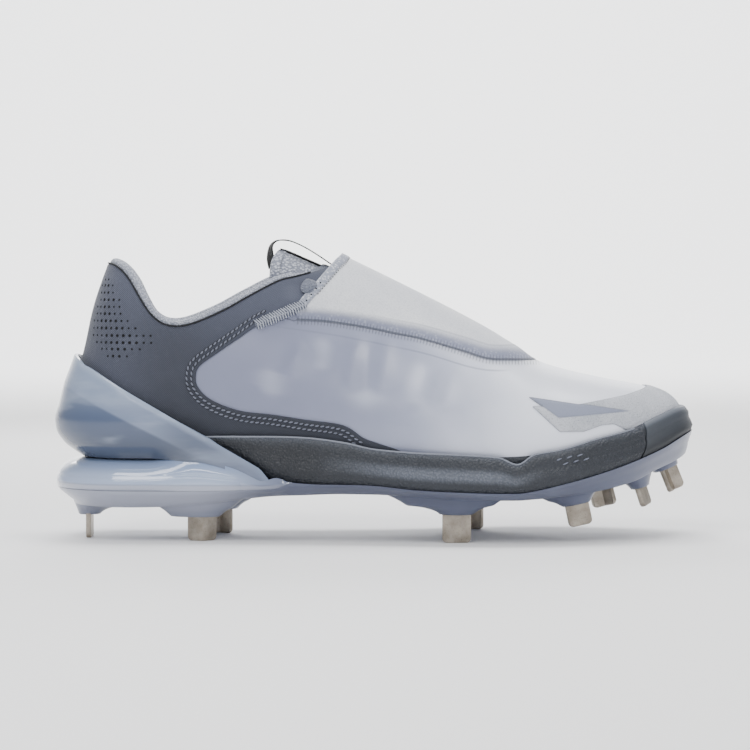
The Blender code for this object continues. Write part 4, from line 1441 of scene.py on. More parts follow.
scoop = {"from": 0.655, "to": 0.785, "dip": 0.0016, "deep": 0.0060, "thick": 0.0011, "cell": 0.0009}
base = lastLattice(scoop["cell"], (1.5, 2.5))[2]
shares = np.linspace(scoop["from"], scoop["to"], 24)
t = np.linspace(0, 1, 24)
ends = soleHeight("side", np.array([scoop["from"], scoop["to"]]))
topLine = ends[0] + (ends[1] - ends[0]) * t - scoop["dip"] * np.sin(math.pi * t)
xs = shoe["length"] * (shares - 0.5)
polygon = np.vstack([np.stack([xs, topLine], 1), np.stack([xs[::-1], topLine[::-1] - scoop["deep"]], 1)])
keep = within(sideSpots(base), polygon).reshape(base.shape[:2])
roundOff = smooth(keep / scoop["cell"])[..., None]
scoopPiece = shell(
    "scoop_skin",
    base,
    latticeNormals(base),
    keep,
    0.0001 + scoop["thick"] * (0.3 + 0.7 * roundOff),
    np.full_like(roundOff, -0.0001),
    finishes["foam"],
    {"rise": np.full(base.shape[:2], 0.8)},
)

midsole = footPiece("side_wall", False, finishes["foam"])
bumper = footPiece("toe_bumper_skin", True, finishes["bumper"])

pipingRun = {"radius": 0.00042, "from": 0.24, "bend": 0.756, "to": 0.905}
share = np.linspace(pipingRun["from"], pipingRun["bend"], 150)
a = sidewise(share)
toeStart = shoe["toeRound"] / shoe["length"]
reach = 1 - (1 - np.linspace(pipingRun["bend"] + 0.001, pipingRun["to"], 40)) / toeStart
a = np.concatenate([a, 2 + np.arcsin(np.clip(reach, 0, 1)) / (math.pi / 2)])
pipes, sideName = [], {True: "outer", False: "inner"}
for outer in (True, False):
    share, _, pull = station(a)
    inset = footwall(1.0, share) + 0.0002
    path = ringPoint(a, outer, soleHeight("side", share) + 0.00005, inset, inset)
    name = "wall_piping_" + sideName[outer]
    pipes.append(tube(name, path, pipingRun["radius"], sides=8, material=finishes["piping"]))

clip = {
    "rises": (0.00, 0.06, 0.13, 0.25, 0.35, 0.50, 0.68, 0.86, 1.00),
    "rear": (0.0130, 0.0085, 0.0042, 0.0006, 0.0000, 0.0020, 0.0042, 0.0075, 0.0100),
    "side": (0.0090, 0.0060, 0.0030, 0.0006, 0.0000, 0.0006, 0.0016, 0.0024, 0.0030),
    "top": 0.49,
    "wall": 0.0016,
}
clipTable = {name: np.array(clip[name]) for name in ("rises", "rear", "side")}
s = np.concatenate([-np.linspace(1.45, 0, 150)[:-1], np.linspace(0, 1.45, 150)])
rises = np.concatenate([np.linspace(0, 0.35, 34)[:-1], np.linspace(0.35, 1, 46)])
s, rises = np.meshgrid(s, rises, indexing="ij")
share = station(np.abs(s))[0]
tail = smooth((share - 0.150) / 0.075)
clipLow = clipBase(share) - 0.0010 * tail
level = clipLow + (upperLevel(clip["top"]) - clipLow) * rises
inset = read(clipTable, "side", rises, "rises")
inset = inset + (np.minimum(inset, 0.0012) - inset) * tail * (rises < 0.3)
end = read(clipTable, "rear", rises, "rises")
base = signedPoint(s, level, inset, end)
clipTail = np.stack(sidePlace(clipTailRows["along"], clipTailRows["up"]), -1)
outline = np.vstack([curve(clipRows)[:-1], clipTail])
polygon = np.vstack([outline, [[behind, outline[-1, 1]], [behind, outline[0, 1]]]])
keep = within(sideSpots(base), polygon).reshape(base.shape[:2])
keep = np.minimum(keep, (upperLevel(clip["top"]) - 0.0002 - base[..., 2]))
roundOff = rounded(keep / 0.0012)[..., None]
clipPiece = shell(
    "heel_clip_skin",
    base,
    latticeNormals(base),
    keep,
    -0.0005 + 0.0005 * roundOff,
    np.full_like(roundOff, -clip["wall"]),
    finishes["clip"],
    closed=False,
)

air = {
    "rises": (0.00, 0.18, 0.38, 0.60, 0.80, 0.93, 1.00),
    "insets": (0.0012, 0.0006, 0.0009, 0.0024, 0.0052, 0.0088, 0.0120),
    "end": 0.330,
    "nose": 0.045,
}
airTable = {name: np.array(air[name]) for name in ("rises", "insets")}
noseFrom, noseTo = sidewise(air["end"] - air["nose"]), sidewise(air["end"])
turns = np.linspace(0, math.pi / 2, 14)
loop = np.concatenate([np.linspace(0, noseFrom, 90)[:-1], noseFrom + (noseTo - noseFrom) * np.sin(turns)])
width = np.concatenate([np.ones(89), np.maximum(np.cos(turns), 0) ** 0.4])
heights = np.unique(np.concatenate([np.linspace(0, 1, 26), [0.005, 0.995]]))
layers = []
for rise in heights:
    share = station(loop)[0]
    joined = smooth((share - 0.150) / 0.075)
    low, high = plateTop(share) + 0.0001, clipBase(share) - 0.0005 + 0.0022 * joined
    inset = read(airTable, "insets", np.array(rise), "rises") * (1 - 0.72 * joined)
    waist = 0.0003 * math.exp(-(((rise - 0.46) / 0.05) ** 2))
    sides = []
    for outer in (True, False):
        spots = ringPoint(loop, outer, low + (high - low) * rise, inset + waist, inset + waist)
        middle = read(plan, "centre", share) * shoe["ballWidth"]
        spots[:, 1] = middle + (spots[:, 1] - middle) * width
        sides.append(spots)
    layers.append(np.vstack([sides[0], sides[1][1:-1][::-1]]))
airPiece = sweep("air_unit_skin", layers, finishes["air"])
fill = {"from": 0.272, "to": 0.382, "inset": 0.0006}
loop = sidewise(np.linspace(fill["from"], fill["to"], 40))
layers = []
for rise in np.linspace(0, 1, 10):
    share = station(loop)[0]
    low = plateTop(share) - 0.0004
    high = clipBase(share) + 0.0004 + 0.0037 * smooth((share - 0.322) / 0.03)
    high = low + (high - low) * (0.12 + 0.88 * smooth((fill["to"] - share) / 0.028))
    sides = []
    for outer in (True, False):
        inset = fill["inset"] + 0.0006 * abs(rise - 0.4)
        sides.append(ringPoint(loop, outer, low + (high - low) * rise, inset, inset))
    layers.append(np.vstack([sides[0], sides[1][::-1]]))
fillPiece = sweep("clip_tail_skin", layers, finishes["air"])
print("foam, clip and air unit made")

plate = {
    "drops": (0.00, 0.20, 0.50, 0.80, 1.00),
    "heel": (0.0012, 0.0026, 0.0055, 0.0085, 0.0098),
    "toe": (0.0002, 0.0008, 0.0018, 0.0024, 0.0030),
    "side": (0.0003, 0.0010, 0.0034, 0.0060, 0.0085),
    "cell": 0.00105,
    "studWidth": 0.0132,
    "flare": 0.0045,
}
studRows = table(
    "number along across tip blade width turn bend tilt",
    (1, 0.053, -0.020, 0.00, 0.82, 1.00, 90, 0, 0),
    (2, 0.234, -0.215, 0.00, 0.86, 1.12, 8, 34, 0),
    (3, 0.253, 0.185, 0.00, 0.86, 1.12, 172, 34, 0),
    (4, 0.625, -0.300, 0.00, 0.99, 1.00, 0, 0, 0),
    (5, 0.653, 0.370, 0.00, 0.99, 1.12, 180, 34, 0),
    (6, 0.817, -0.250, 0.60, 0.76, 0.84, 8, 0, 12),
    (7, 0.872, 0.330, 0.93, 0.72, 1.00, 170, 34, 14),
    (8, 0.923, -0.090, 1.24, 0.66, 0.80, 65, 0, 18),
    (9, 0.975, 0.150, 1.66, 0.82, 0.90, 215, 34, 22),
)
bossRows = table(
    "number faceBack faceFront webBack webFront root",
    (1, 0.40, 0.42, 0.50, 1.55, 0.20),
    (2, 1.15, 0.66, 1.50, 1.10, 0.60),
    (3, 1.10, 0.66, 1.40, 1.10, 0.50),
    (4, 0.62, 0.62, 1.75, 1.30, 0.80),
    (5, 0.62, 0.70, 1.40, 1.75, 0.50),
    (6, 0.56, 0.52, 0.95, 0.72, 0.70),
    (7, 0.60, 0.56, 0.85, 0.75, 0.50),
    (8, 0.36, 0.34, 0.55, 0.50, 0.40),
    (9, 0.46, 0.50, 0.60, 0.55, 0.30),
)


def tilted(tilt):
    c, s = math.cos(tilt), math.sin(tilt)
    return np.array([[c, 0, s], [0, 1, 0], [-s, 0, c]])


def studFrame(i):
    tilt = math.radians(studRows["tilt"][i])
    spot = np.array(
        [
            shoe["length"] * (studRows["along"][i] - 0.5),
            studRows["across"][i] * shoe["ballWidth"],
            studRows["tip"][i] * shoe["studReach"],
        ]
    )
    return spot, tilted(tilt), studRows["blade"][i] * shoe["studReach"], tilt


def bossDrop(points, i):
    # moves the points of the plate's underside down onto a flared boss
    spot, turn, blade, tilt = studFrame(i)
    share = studRows["along"][i] - math.sin(tilt) * blade / shoe["length"]
    middle = (plateTop(np.array(share)) + soleHeight("under", np.array(share))) / 2
    top = (middle - spot[2]) / math.cos(tilt)
    low = blade + 0.0003
    local = (points - spot) @ turn.T
    ahead = local[..., 0] > 0
    width = plate["studWidth"]
    reaches = []
    for key in ("face", "web"):
        reaches.append(width * np.where(ahead, bossRows[key + "Front"][i], bossRows[key + "Back"][i]))
    reaches.append(reaches[1] + width * bossRows["root"][i])
    halves = [width / 2 + plate["flare"] * rise for rise in (0.0, 0.4, 1.0)]
    scaled = [np.hypot(local[..., 0] / r, local[..., 1] / h) for r, h in zip(reaches, halves)]
    step = np.clip((scaled[0] - 1) / np.maximum(scaled[0] - scaled[1], 1e-9), 0, 1)
    outerStep = np.clip((scaled[1] - 1) / np.maximum(scaled[1] - scaled[2], 1e-9), 0, 1)
    rise = np.where(scaled[1] < 1, 0.4 * step, 0.4 + 0.6 * outerStep)
    rise = np.where(scaled[0] < 1, 0.0, np.where(scaled[2] >= 1, 1.0, rise))
    tier = np.clip((1.0 - scaled[0]) / 0.05, 0, 1) * 0.0005
    goal = low + 0.0005 - tier + (top - low - 0.0005) * rise
    drop = np.clip(local[..., 2] - goal, 0, None)
    soft = 0.0008
    drop = np.where(drop > soft, drop - soft / 2, drop * drop / (2 * soft))
    drop = np.where(scaled[2] < 1.0, drop, 0)
    local = local - drop[..., None] * np.array([0, 0, 1.0])
    return local @ turn + spot, drop


plateTable = {name: np.array(plate[name]) for name in ("drops", "heel", "toe", "side")}
a = spaced(0, 3, runs["plate"], plate["cell"])
wallDrops = np.array([0.0, 0.03, 0.1, 0.2, 0.32, 0.44, 0.56, 0.68, 0.8, 0.9, 0.96, 1.0])
across = np.linspace(-1, 1, 96)[1:-1]
share, roundness, pull = station(a)
topLevel = plateTop(share) + 0.0008 * smooth((share - 0.40) / 0.1) + 0.0009 * smooth((share - 0.70) / 0.1)
under = soleHeight("under", share)
columns, weight = [], []
for outer, drops in ((True, wallDrops), (None, across), (False, wallDrops[::-1])):
    if outer is None:
        edges = []
        for side in (True, False):
            inset = read(plateTable, "side", np.array(1.0), "drops")
            end = np.where(share < 0.5, plate["heel"][-1], plate["toe"][-1])
            edges.append(ringPoint(a, side, under, inset, end))
        for t in drops:
            spots = edges[0] + (edges[1] - edges[0]) * (t + 1) / 2
            crown = 0.0006 * (1 - t * t) * roundness
            columns.append(spots + np.stack([0 * crown, 0 * crown, crown], -1))
            weight.append(1.0)
        continue
    for drop in drops:
        inset = read(plateTable, "side", np.array(drop), "drops")
        heel, toe = (read(plateTable, key, np.array(drop), "drops") for key in ("heel", "toe"))
        level = topLevel + (under - topLevel) * drop
        columns.append(ringPoint(a, outer, level, inset, np.where(share < 0.5, heel, toe)))
        weight.append(1.0 if drop > 0.15 else 0.0)
points = np.stack(columns, 1)
weight = np.array(weight)[None, :, None]
total = np.zeros(points.shape[:2])
for i in range(len(studRows["number"])):
    moved, drop = bossDrop(points, i)
    points = points + (moved - points) * weight
    total = np.maximum(total, drop)
bosses = {"boss": smooth(total / 0.006)}
platePiece = sweep("plate_skin", points, finishes["plate"], bosses, capped=False, sharp=60)

blade = {
    "width": 0.0132,
    "thickness": 0.0024,
    "corner": 0.0022,
    "into": 0.0012,
    "edge": 0.00035,
    "crease": 0.0009,
}


def bladePiece(i):
    spot, turn, base, _ = studFrame(i)
    width = blade["width"] * studRows["width"][i]
    half, bend = width / 2, math.radians(studRows["bend"][i])
    arc = half - blade["corner"] * (1 - np.sin(np.linspace(0, math.pi / 2, 9)))
    along = np.concatenate([-arc[::-1], np.linspace(-arc[0], arc[0], 9)[1:-1], arc])
    rows = []
    # sections across the blade, each a rounded slot from the tip up to the root
    for w in along:
        over = max(abs(w) - half + blade["corner"], 0) / blade["corner"]
        lift = blade["corner"] * (1 - math.sqrt(max(1 - over * over, 0)))
        near = max(0.0, 1 - (half - abs(w)) / blade["edge"])
        slim = blade["thickness"] / 2 - blade["edge"] * 0.8 * (1 - math.sqrt(max(1 - near * near, 0)))
        top = base + blade["into"]
        crease = math.hypot(w, blade["crease"])
        bent = (crease - blade["crease"]) if bend else abs(w)
        normal = unit(np.array([-math.sin(bend) * w / crease, math.cos(bend)]))
        middle = np.array([w * math.cos(bend), bent * math.sin(bend)])
        r = blade["edge"]
        steps = [(-1, top), (-1, lift + r), (-0.85, lift + 0.3 * r), (-0.5, lift), (0.5, lift)]
        steps += [(0.85, lift + 0.3 * r), (1, lift + r), (1, top)]
        body = np.linspace(0, 1, 6)[1:-1]
        steps = steps[:1] + [(-1, top + (lift + r - top) * t) for t in body] + steps[1:-1]
        steps += [(1, lift + r + (top - lift - r) * t) for t in body] + [(1, top)]
        row = []
        for side, z in steps:
            xy = middle + normal * side * slim
            row.append([xy[0], xy[1], z])
        rows.append(row)
    rows = np.array(rows)
    heading = math.radians(studRows["turn"][i])
    c, s = math.cos(heading), math.sin(heading)
    rows = rows @ np.array([[c, s, 0], [-s, c, 0], [0, 0, 1]]) @ turn + spot
    return sweep(f"blade_{i + 1}", rows, finishes["metal"], sharp=35)


blades = [bladePiece(i) for i in range(9)]
print("plate and studs made")


def closedSpline(stops, steps=3):
    spots = np.array(stops, float)
    return np.array(spline(np.vstack([spots[-1:], spots, spots[:2]]), steps))


def collarSeat(a, outer):
    # where the collar's edge crosses each column of the last
    def past(v):
        return collarKeep(lastPoint(a, v if outer else 4 - v)[None])[0] <= 0

    v = bisect(np.full(len(a), 0.9), np.full(len(a), 1.97), past, 26)
    return v if outer else 4 - v


def collarLine(front):
    a = np.concatenate([np.linspace(0.004, 1, 70)[:-1], np.linspace(1, sidewise(front), 110)])
    outerW, innerW = collarSeat(a, True), collarSeat(a, False)
    return np.concatenate([a[::-1], a[1:]]), np.concatenate([innerW[::-1], outerW[1:]])


roll = {
    "front": 0.384,
    "sunk": 0.0003,
    "section": (
        (-0.9, -3.0),
        (0.1, 0.0),
        (0.3, 1.3),
        (-0.4, 2.7),
        (-2.2, 3.5),
        (-4.2, 3.2),
        (-6.0, 1.9),
        (-6.9, -0.3),
        (-7.1, -6.0),
        (-6.8, -14.0),
        (-6.0, -21.0),
        (-4.5, -24.0),
        (-2.6, -23.0),
        (-2.3, -15.0),
        (-2.2, -6.0),
    ),
}
rollA, rollW = collarLine(roll["front"])
rollEdge, rollN = offsetPoint(rollA, rollW, 0.0)
rollUp = np.cross(unit(relaxed(np.gradient(rollEdge, axis=0), 6)), rollN)
rollUp = unit(rollUp * np.sign(rollUp[:, 2:3]))
section = closedSpline(roll["section"], 3) / 1000
fade = smooth(np.minimum(np.arange(len(rollA)), len(rollA) - 1 - np.arange(len(rollA))) / 9)
rows = []
for n, u in section:
    below = np.maximum(rollEdge[:, 2] + np.minimum(u, 0), soleHeight("floor", station(rollA)[0]) + 0.006)
    lowW = heightRow(rollA, below, rollW <= 2)
    spots, normal = offsetPoint(rollA, np.where(u < 0, lowW, rollW), 0.0)
    out, lift = n - roll["sunk"] * (1 - fade), np.maximum(u, 0) * (0.55 + 0.45 * fade)
    rows.append(spots + normal * out[:, None] + rollUp * lift[:, None])
lining = sweep("collar_roll", np.stack(rows, 1), finishes["knit"])

rollPipe = {"front": 0.392, "lift": 0.0010, "radius": 0.00042}
edge, normal = (relaxed(row, 10) for row in offsetPoint(*collarLine(rollPipe["front"]), rollPipe["lift"]))
piping = tube("collar_piping", edge, rollPipe["radius"], unit(normal), material=finishes["binding"])
print("collar made")

tongue = {
    "outer": -0.008,
    "thick": 0.0045,
    "front": 0.68,
    "w": (1.545, 2.455),
    "rim": (
        (0.0, 2.55),
        (-1.1, 1.9),
        (-1.5, 0),
        (-1.1, -1.9),
        (0.0, -2.55),
        (3.0, -2.75),
        (3.4, 0),
        (3.0, 2.75),
    ),
}
tonguePath = curve(tongueRows)
tongueMiddle = tongue["outer"] - tongue["thick"] / 2
w = np.linspace(*tongue["w"], 70)
rearA = crossing(w, tonguePath, tongueMiddle, 1.05, 2.0)
frontA = sidewise(tongue["front"])
rows = []
for t in np.linspace(0, 1, 120):
    a = rearA + (frontA - rearA) * t
    edgeFade = np.sqrt(np.clip(1 - (np.abs(w - 2) / 0.456) ** 6, 0.02, 1))
    puff = 0.0005 * np.cos((w - 2) * 9)
    endFade = math.sqrt(max(0.05, 1 - max(0, 1 - t / 0.012) ** 2))
    half = tongue["thick"] / 2 * edgeFade * endFade + puff * edgeFade * 0.4
    high = offsetPoint(a, w, tongueMiddle + half)[0]
    low = offsetPoint(a, w, tongueMiddle - half)[0]
    rows.append(np.vstack([high, low[::-1]]))
tonguePiece = sweep("tongue_pad", rows, finishes["tongueKnit"])

rearPlace, rearNormal = offsetPoint(rearA, w, tongueMiddle)
into = unit(offsetPoint(rearA + 0.02, w, tongueMiddle)[0] - rearPlace)
rimSection = closedSpline(tongue["rim"], 4)
rows = []
for p, n, d, place in zip(rearPlace, rearNormal, into, np.linspace(-1, 1, len(w))):
    trim = math.sqrt(max(0.03, 1 - abs(place) ** 12))
    rows.append([p + d * along / 1000 + n * up * trim / 1000 for along, up in rimSection])
tongueRim = sweep("tongue_rim", rows, finishes["tongueKnit"])

# the loop's webbing runs on along the tongue's ridge
strap = {
    "length": 0.30,
    "spread": 0.062,
    "section": (
        (-5.5, 0.1),
        (-5.2, 0.75),
        (0, 0.85),
        (5.2, 0.75),
        (5.5, 0.1),
        (5.2, -0.2),
        (0, -0.2),
        (-5.2, -0.2),
    ),
}
t = np.linspace(-0.002, strap["length"], 90)
ridge = crossing(np.array([2.0]), tonguePath, tongueMiddle, 1.05, 2.0)[0]
rows = []
for along in t:
    row = []
    for y, up in closedSpline(strap["section"], 3):
        across = np.array([2.0 + y / 1000 / strap["spread"]])
        row.append(offsetPoint(np.array([ridge + along]), across, tongue["outer"] + up / 1000)[0][0])
    rows.append(row)
tongueStrap = sweep("tongue_strap", rows, finishes["webbing"])

# half of the webbing's section in millimetres, and its twist at the tongue's end
webbing = {
    "half": (
        (-5.5, 0),
        (-5.4, 0.22),
        (-4.9, 0.3),
        (-2.4, 0.27),
        (0, 0.26),
        (2.4, 0.27),
        (4.9, 0.3),
        (5.4, 0.22),
    ),
    "twist": 24,
}
path = evenly(loopPath, 0.0006)
twist = math.radians(webbing["twist"]) * (1 - smooth(np.linspace(0, 1, len(path)) / 0.34))
along = unit(np.gradient(path, axis=0))
across = np.stack([-along[:, 1], along[:, 0]], 1)
spot = loopRows["along"][0]
loopMiddle = float(read(plan, "centre", spot) + read(last, "ridge", spot)) * shoe["ballWidth"]
ribbon = closedSpline(webbing["half"] + tuple((-y, -up) for y, up in webbing["half"]), 2)
rows = []
for (x, z), (dx, dz), turn in zip(path, across, twist):
    c, t = math.cos(turn), math.sin(turn)
    row = [(y * c - up * t, y * t + up * c) for y, up in ribbon]
    rows.append([(x + dx * up / 1000, loopMiddle + y / 1000, z + dz * up / 1000) for y, up in row])
loopPiece = sweep("pull_ribbon", rows, finishes["webbing"])

lace = {
    "low": (0.386, 0.800),
    "high": (0.436, 0.985),
    "offset": -0.0070,
    "seat": 0.0021,
    "width": 0.0062,
    "thick": 0.0018,
}
line = np.stack(sidePlace(*np.array([lace["low"], lace["high"]]).T), -1)
slope = line[1] - line[0]
line = np.array([line[0] - slope, line[0], line[1], line[1] + slope])
wide = np.linspace(1.2, 2, 200)
a = crossing(wide, line, lace["seat"], 1.05, 2.2)
spots = offsetPoint(a, wide, lace["seat"])[0]
start = float(np.interp(line[1, 1] + 0.0010, spots[:, 2], wide))
w = np.linspace(start, 4 - start, 130)
outside = smooth((np.abs(w - 2) - 0.36) / 0.10)
lift = lace["offset"] + (lace["seat"] - lace["offset"]) * outside
spots, normal = offsetPoint(crossing(w, line, lift, 1.05, 2.2), w, lift)
sideways = np.cross(unit(np.gradient(spots, axis=0)), normal)
ring = [(math.cos(t), math.sin(t)) for t in np.linspace(0, 2 * math.pi, 16, endpoint=False)]
rows = []
for k in range(len(w)):
    near = min(k, len(w) - 1 - k) / 5
    trim = math.sqrt(max(0.06, 1 - max(0, 1 - near) ** 2))
    rows.append(
        [
            spots[k] + sideways[k] * c * lace["width"] / 2 * trim + normal[k] * s * lace["thick"] / 2 * trim
            for c, s in ring
        ]
    )
lacePiece = sweep("lace_run", rows, finishes["lace"])

liner = {"cell": 0.0022, "inset": 0.0026, "lift": 0.0003, "thick": 0.0040, "cup": 0.0011, "bevel": 0.0006}
a = spaced(0, 3, runs["along"], liner["cell"])
share, roundness, pull = station(a)
floor = soleHeight("floor", share)
edges = []
for outer in (True, False):
    inset = shoe["sideWall"] + shoe["featherTuck"] + liner["inset"]
    end = np.where(pull > 0, shoe["heelInset"], shoe["toeInset"]) + liner["inset"]
    spots = ringPoint(a, outer, floor, inset, end)
    spots[:, 0] += leanAt(floor, share)
    edges.append(spots)
rows = []
for t, up in [(t, 1) for t in np.linspace(-1, 1, 40)] + [(t, 0) for t in (1, 0.5, 0, -0.5, -1)]:
    spots = edges[0] + (edges[1] - edges[0]) * (t + 1) / 2
    height = liner["thick"] - liner["bevel"] * (abs(t) > 0.999) + liner["cup"] * abs(t) ** 4
    rows.append(spots + np.array([0, 0, 1.0]) * (liner["lift"] + up * height))
insole = sweep("sock_liner_pad", np.stack(rows, 1), finishes["liner"], capped=False)
print("tongue, laces, loop and insole made")


# stitches, perforations and other small repeats
def repeatTree(name, onPath, shape):
    # copies a small shape along a polyline, or on loose points, turned by each point's own directions
    tree = bpy.data.node_groups.new(name, "GeometryNodeTree")
    face = tree.interface
    face.new_socket("Geometry", in_out="INPUT", socket_type="NodeSocketGeometry")
    labels = ("Spacing", "Length", "Width", "Height", "Lift", "Turn", "Jitter")
    kinds = {**dict.fromkeys(labels, "Float"), "Finish": "Material", "Seed": "Int"}
    names = {
        label: face.new_socket(label, in_out="INPUT", socket_type="NodeSocket" + kind).identifier
        for label, kind in kinds.items()
    }
    face.new_socket("Geometry", in_out="OUTPUT", socket_type="NodeSocketGeometry")
    enter, leave = tree.nodes.new("NodeGroupInput"), tree.nodes.new("NodeGroupOutput")
    given = {socket.name: Wire(tree, socket) for socket in enter.outputs}

    def add(kind, settings=None, values=None, out=0):
        return node(tree, kind, settings, values, out)

    points = given["Geometry"]
    if onPath:
        line = add("GeometryNodeMeshToCurve", None, {"Mesh": points})
        values = {"Curve": line, "Length": given["Spacing"]}
        points = add("GeometryNodeResampleCurve", {"mode": "LENGTH"}, values)
        along = add("GeometryNodeInputTangent")
    else:
        along = add("GeometryNodeInputNamedAttribute", {"data_type": "FLOAT_VECTOR"}, {"Name": "along"})
    up = add("GeometryNodeInputNamedAttribute", {"data_type": "FLOAT_VECTOR"}, {"Name": "up"})
    if shape == "thread":
        form = add("GeometryNodeMeshUVSphere", None, {"Segments": 7, "Rings": 5, "Radius": 1.0})
    else:
        values = {"Vertices": 12, "Radius": 1.0, "Depth": 2.0}
        form = add("GeometryNodeMeshCylinder", {"fill_type": "NGON"}, values)
    halves = {k: given[label] * 0.5 for k, label in enumerate(("Length", "Width", "Height"))}
    size = add("ShaderNodeCombineXYZ", None, halves)
    shift = add("ShaderNodeCombineXYZ", None, {2: given["Lift"]})
    turn = add("ShaderNodeCombineXYZ", None, {2: given["Turn"]})
    form = add("GeometryNodeTransform", None, {"Geometry": form, "Scale": size})
    form = add("GeometryNodeTransform", None, {"Geometry": form, "Rotation": turn, "Translation": shift})
    settings = {"primary_axis": "Z", "secondary_axis": "X"}
    facing = add("FunctionNodeAxesToRotation", settings, {"Primary Axis": up, "Secondary Axis": along})
    values = {2: 1 - given["Jitter"], 3: 1 + given["Jitter"], 8: given["Seed"]}
    spread = add("FunctionNodeRandomValue", {"data_type": "FLOAT"}, values, 1)
    values = {"Points": points, "Instance": form, "Rotation": facing, "Scale": spread}
    copies = add("GeometryNodeInstanceOnPoints", None, values)
    solid = add("GeometryNodeRealizeInstances", None, {"Geometry": copies})
    done = add("GeometryNodeSetMaterial", None, {"Geometry": solid, "Material": given["Finish"]})
    tree.links.new(done.socket, leave.inputs[0])
    return tree, names


def repeat(name, kind, lines, finish, **sizes):
    # lines are lists of (points, up directions) or of (points, up, along)
    tree, names = kind
    points, edges, ups, alongs = [], [], [], []
    for line in lines:
        start = len(points)
        points += [tuple(p) for p in line[0]]
        ups += [tuple(u) for u in line[1]]
        if len(line) > 2:
            alongs += [tuple(t) for t in line[2]]
        else:
            edges += [(k, k + 1) for k in range(start, len(points) - 1)]
    mesh = bpy.data.meshes.new(name)
    mesh.from_pydata(points, edges, [])
    for key, vectors in (("up", ups), ("along", alongs)):
        if vectors:
            made = mesh.attributes.new(key, "FLOAT_VECTOR", "POINT")
            made.data.foreach_set("vector", np.ravel(vectors).astype(np.float32))
    obj = bpy.data.objects.new(name, mesh)
    bpy.context.scene.collection.objects.link(obj)
    step = obj.modifiers.new("repeat", "NODES")
    step.node_group = tree
    for label, value in sizes.items():
        step[names[label]] = value
    step[names["Finish"]] = finish
    step[names["Seed"]] = 7  # fixed, so that each run gives the same sizes
    graph = bpy.context.evaluated_depsgraph_get()
    graph.update()
    result = bpy.data.meshes.new_from_object(obj.evaluated_get(graph))
    obj.modifiers.clear()
    obj.data = result
    result.shade_smooth()
    result.set_sharp_from_angle(angle=math.radians(50))
    if not result.materials:
        result.materials.append(finish)
    return obj


onLine = repeatTree("stitchRun", True, "thread")
slotsOnLine = repeatTree("slotRun", True, "disc")
onPoints = repeatTree("stitchSpots", False, "thread")
discsOnPoints = repeatTree("discSpots", False, "disc")


def surfaceLine(path, outer, lift):
    points, n = seat(path[:, 0], path[:, 1], outer)
    return points + n * lift, n


def inward(path, distance):
    ahead = np.gradient(path, axis=0)
    ahead = unit(ahead)
    return path + np.stack([ahead[:, 1], -ahead[:, 0]], 1) * distance


details = []
seamRows = {
    "first": 0.0020,
    "second": 0.0041,
    "lift": 0.00124,
    "spacing": {"Spacing": 0.0024, "Jitter": 0.04},
    "slot": {"Length": 0.0027, "Width": 0.0014, "Height": 0.0003},
    "thread": {"Length": 0.0021, "Width": 0.00085, "Height": 0.0008, "Lift": 0.00015, "Turn": 0.3},
}
fine = evenly(panelPath, 0.0012)
fine = fine[(fine[:, 1] < upperLevel(0.66)) & (fine[:, 1] > upperLevel(0.02))]
for key in ("first", "second"):
    lines = []
    for outer in (True, False):
        shifted = evenly(inward(fine, seamRows[key]), 0.0012)
        lines.append(surfaceLine(shifted, outer, seamRows["lift"]))
    for name, kind, finish, part in (
        ("panel_slots_", slotsOnLine, "darkThread", "slot"),
        ("panel_stitches_", onLine, "thread", "thread"),
    ):
        sizes = {**seamRows[part], **seamRows["spacing"]}
        details.append((repeat(name + key, kind, lines, finishes[finish], **sizes), "twill"))

holes = {
    "rows": (
        (0.875, 0.0862, 0.0918, 2),
        (0.842, 0.0811, 0.0989, 4),
        (0.803, 0.0806, 0.0996, 4),
        (0.764, 0.0800, 0.1101, 5),
        (0.726, 0.0748, 0.1105, 6),
        (0.689, 0.0747, 0.1124, 6),
        (0.650, 0.0699, 0.1232, 8),
        (0.611, 0.0696, 0.1349, 9),
        (0.571, 0.0690, 0.1580, 11),
        (0.533, 0.0754, 0.1588, 10),
        (0.498, 0.0840, 0.1415, 7),
        (0.459, 0.0934, 0.1225, 4),
    ),
    "diameter": 0.00135,
    "lift": 0.00118,
}
for scale, part in ((1.0, "wide"), (0.72, "small")):
    lines = []
    for outer in (True, False):
        spots = []
        for up, left, right, count in holes["rows"]:
            for k in range(count):
                t = k / max(count - 1, 1)
                big = 0.22 < t < 0.8
                if big == (part == "wide"):
                    spots.append((left + (right - left) * (0.75 * t + 0.25 * t * t), up))
        x, z = sidePlace(*np.array(spots).T)
        points, n = seat(x, z, outer)
        along = np.cross(n, np.array([0, 0, 1.0]))
        lines.append((points + n * holes["lift"], n, along))
    d = holes["diameter"] * scale
    sizes = {"Length": d, "Width": d, "Height": 0.00022, "Jitter": 0.06}
    # the perforations are dark discs of painted shade
    punched = repeat("perforations_" + part, discsOnPoints, lines, finishes["hole_shade"], **sizes)
    details.append((punched, "twill"))

# threads whipped over the low end of the cover's binding
whip = {
    "from": (0.3190, 0.6330),
    "to": (0.3930, 0.7400),
    "count": 22,
    "base": 0.0019,
    "baseLift": (0.0009, 0.0008),
    "threadLift": (0.0014, 0.0009),
    "rise": 0.35,
    "thread": {"Length": 0.0043, "Width": 0.00055, "Height": 0.0007, "Jitter": 0.12},
}


def whipLift(key, t):
    low, more = whip[key]
    return (low + more * smooth(t / whip["rise"]))[:, None]


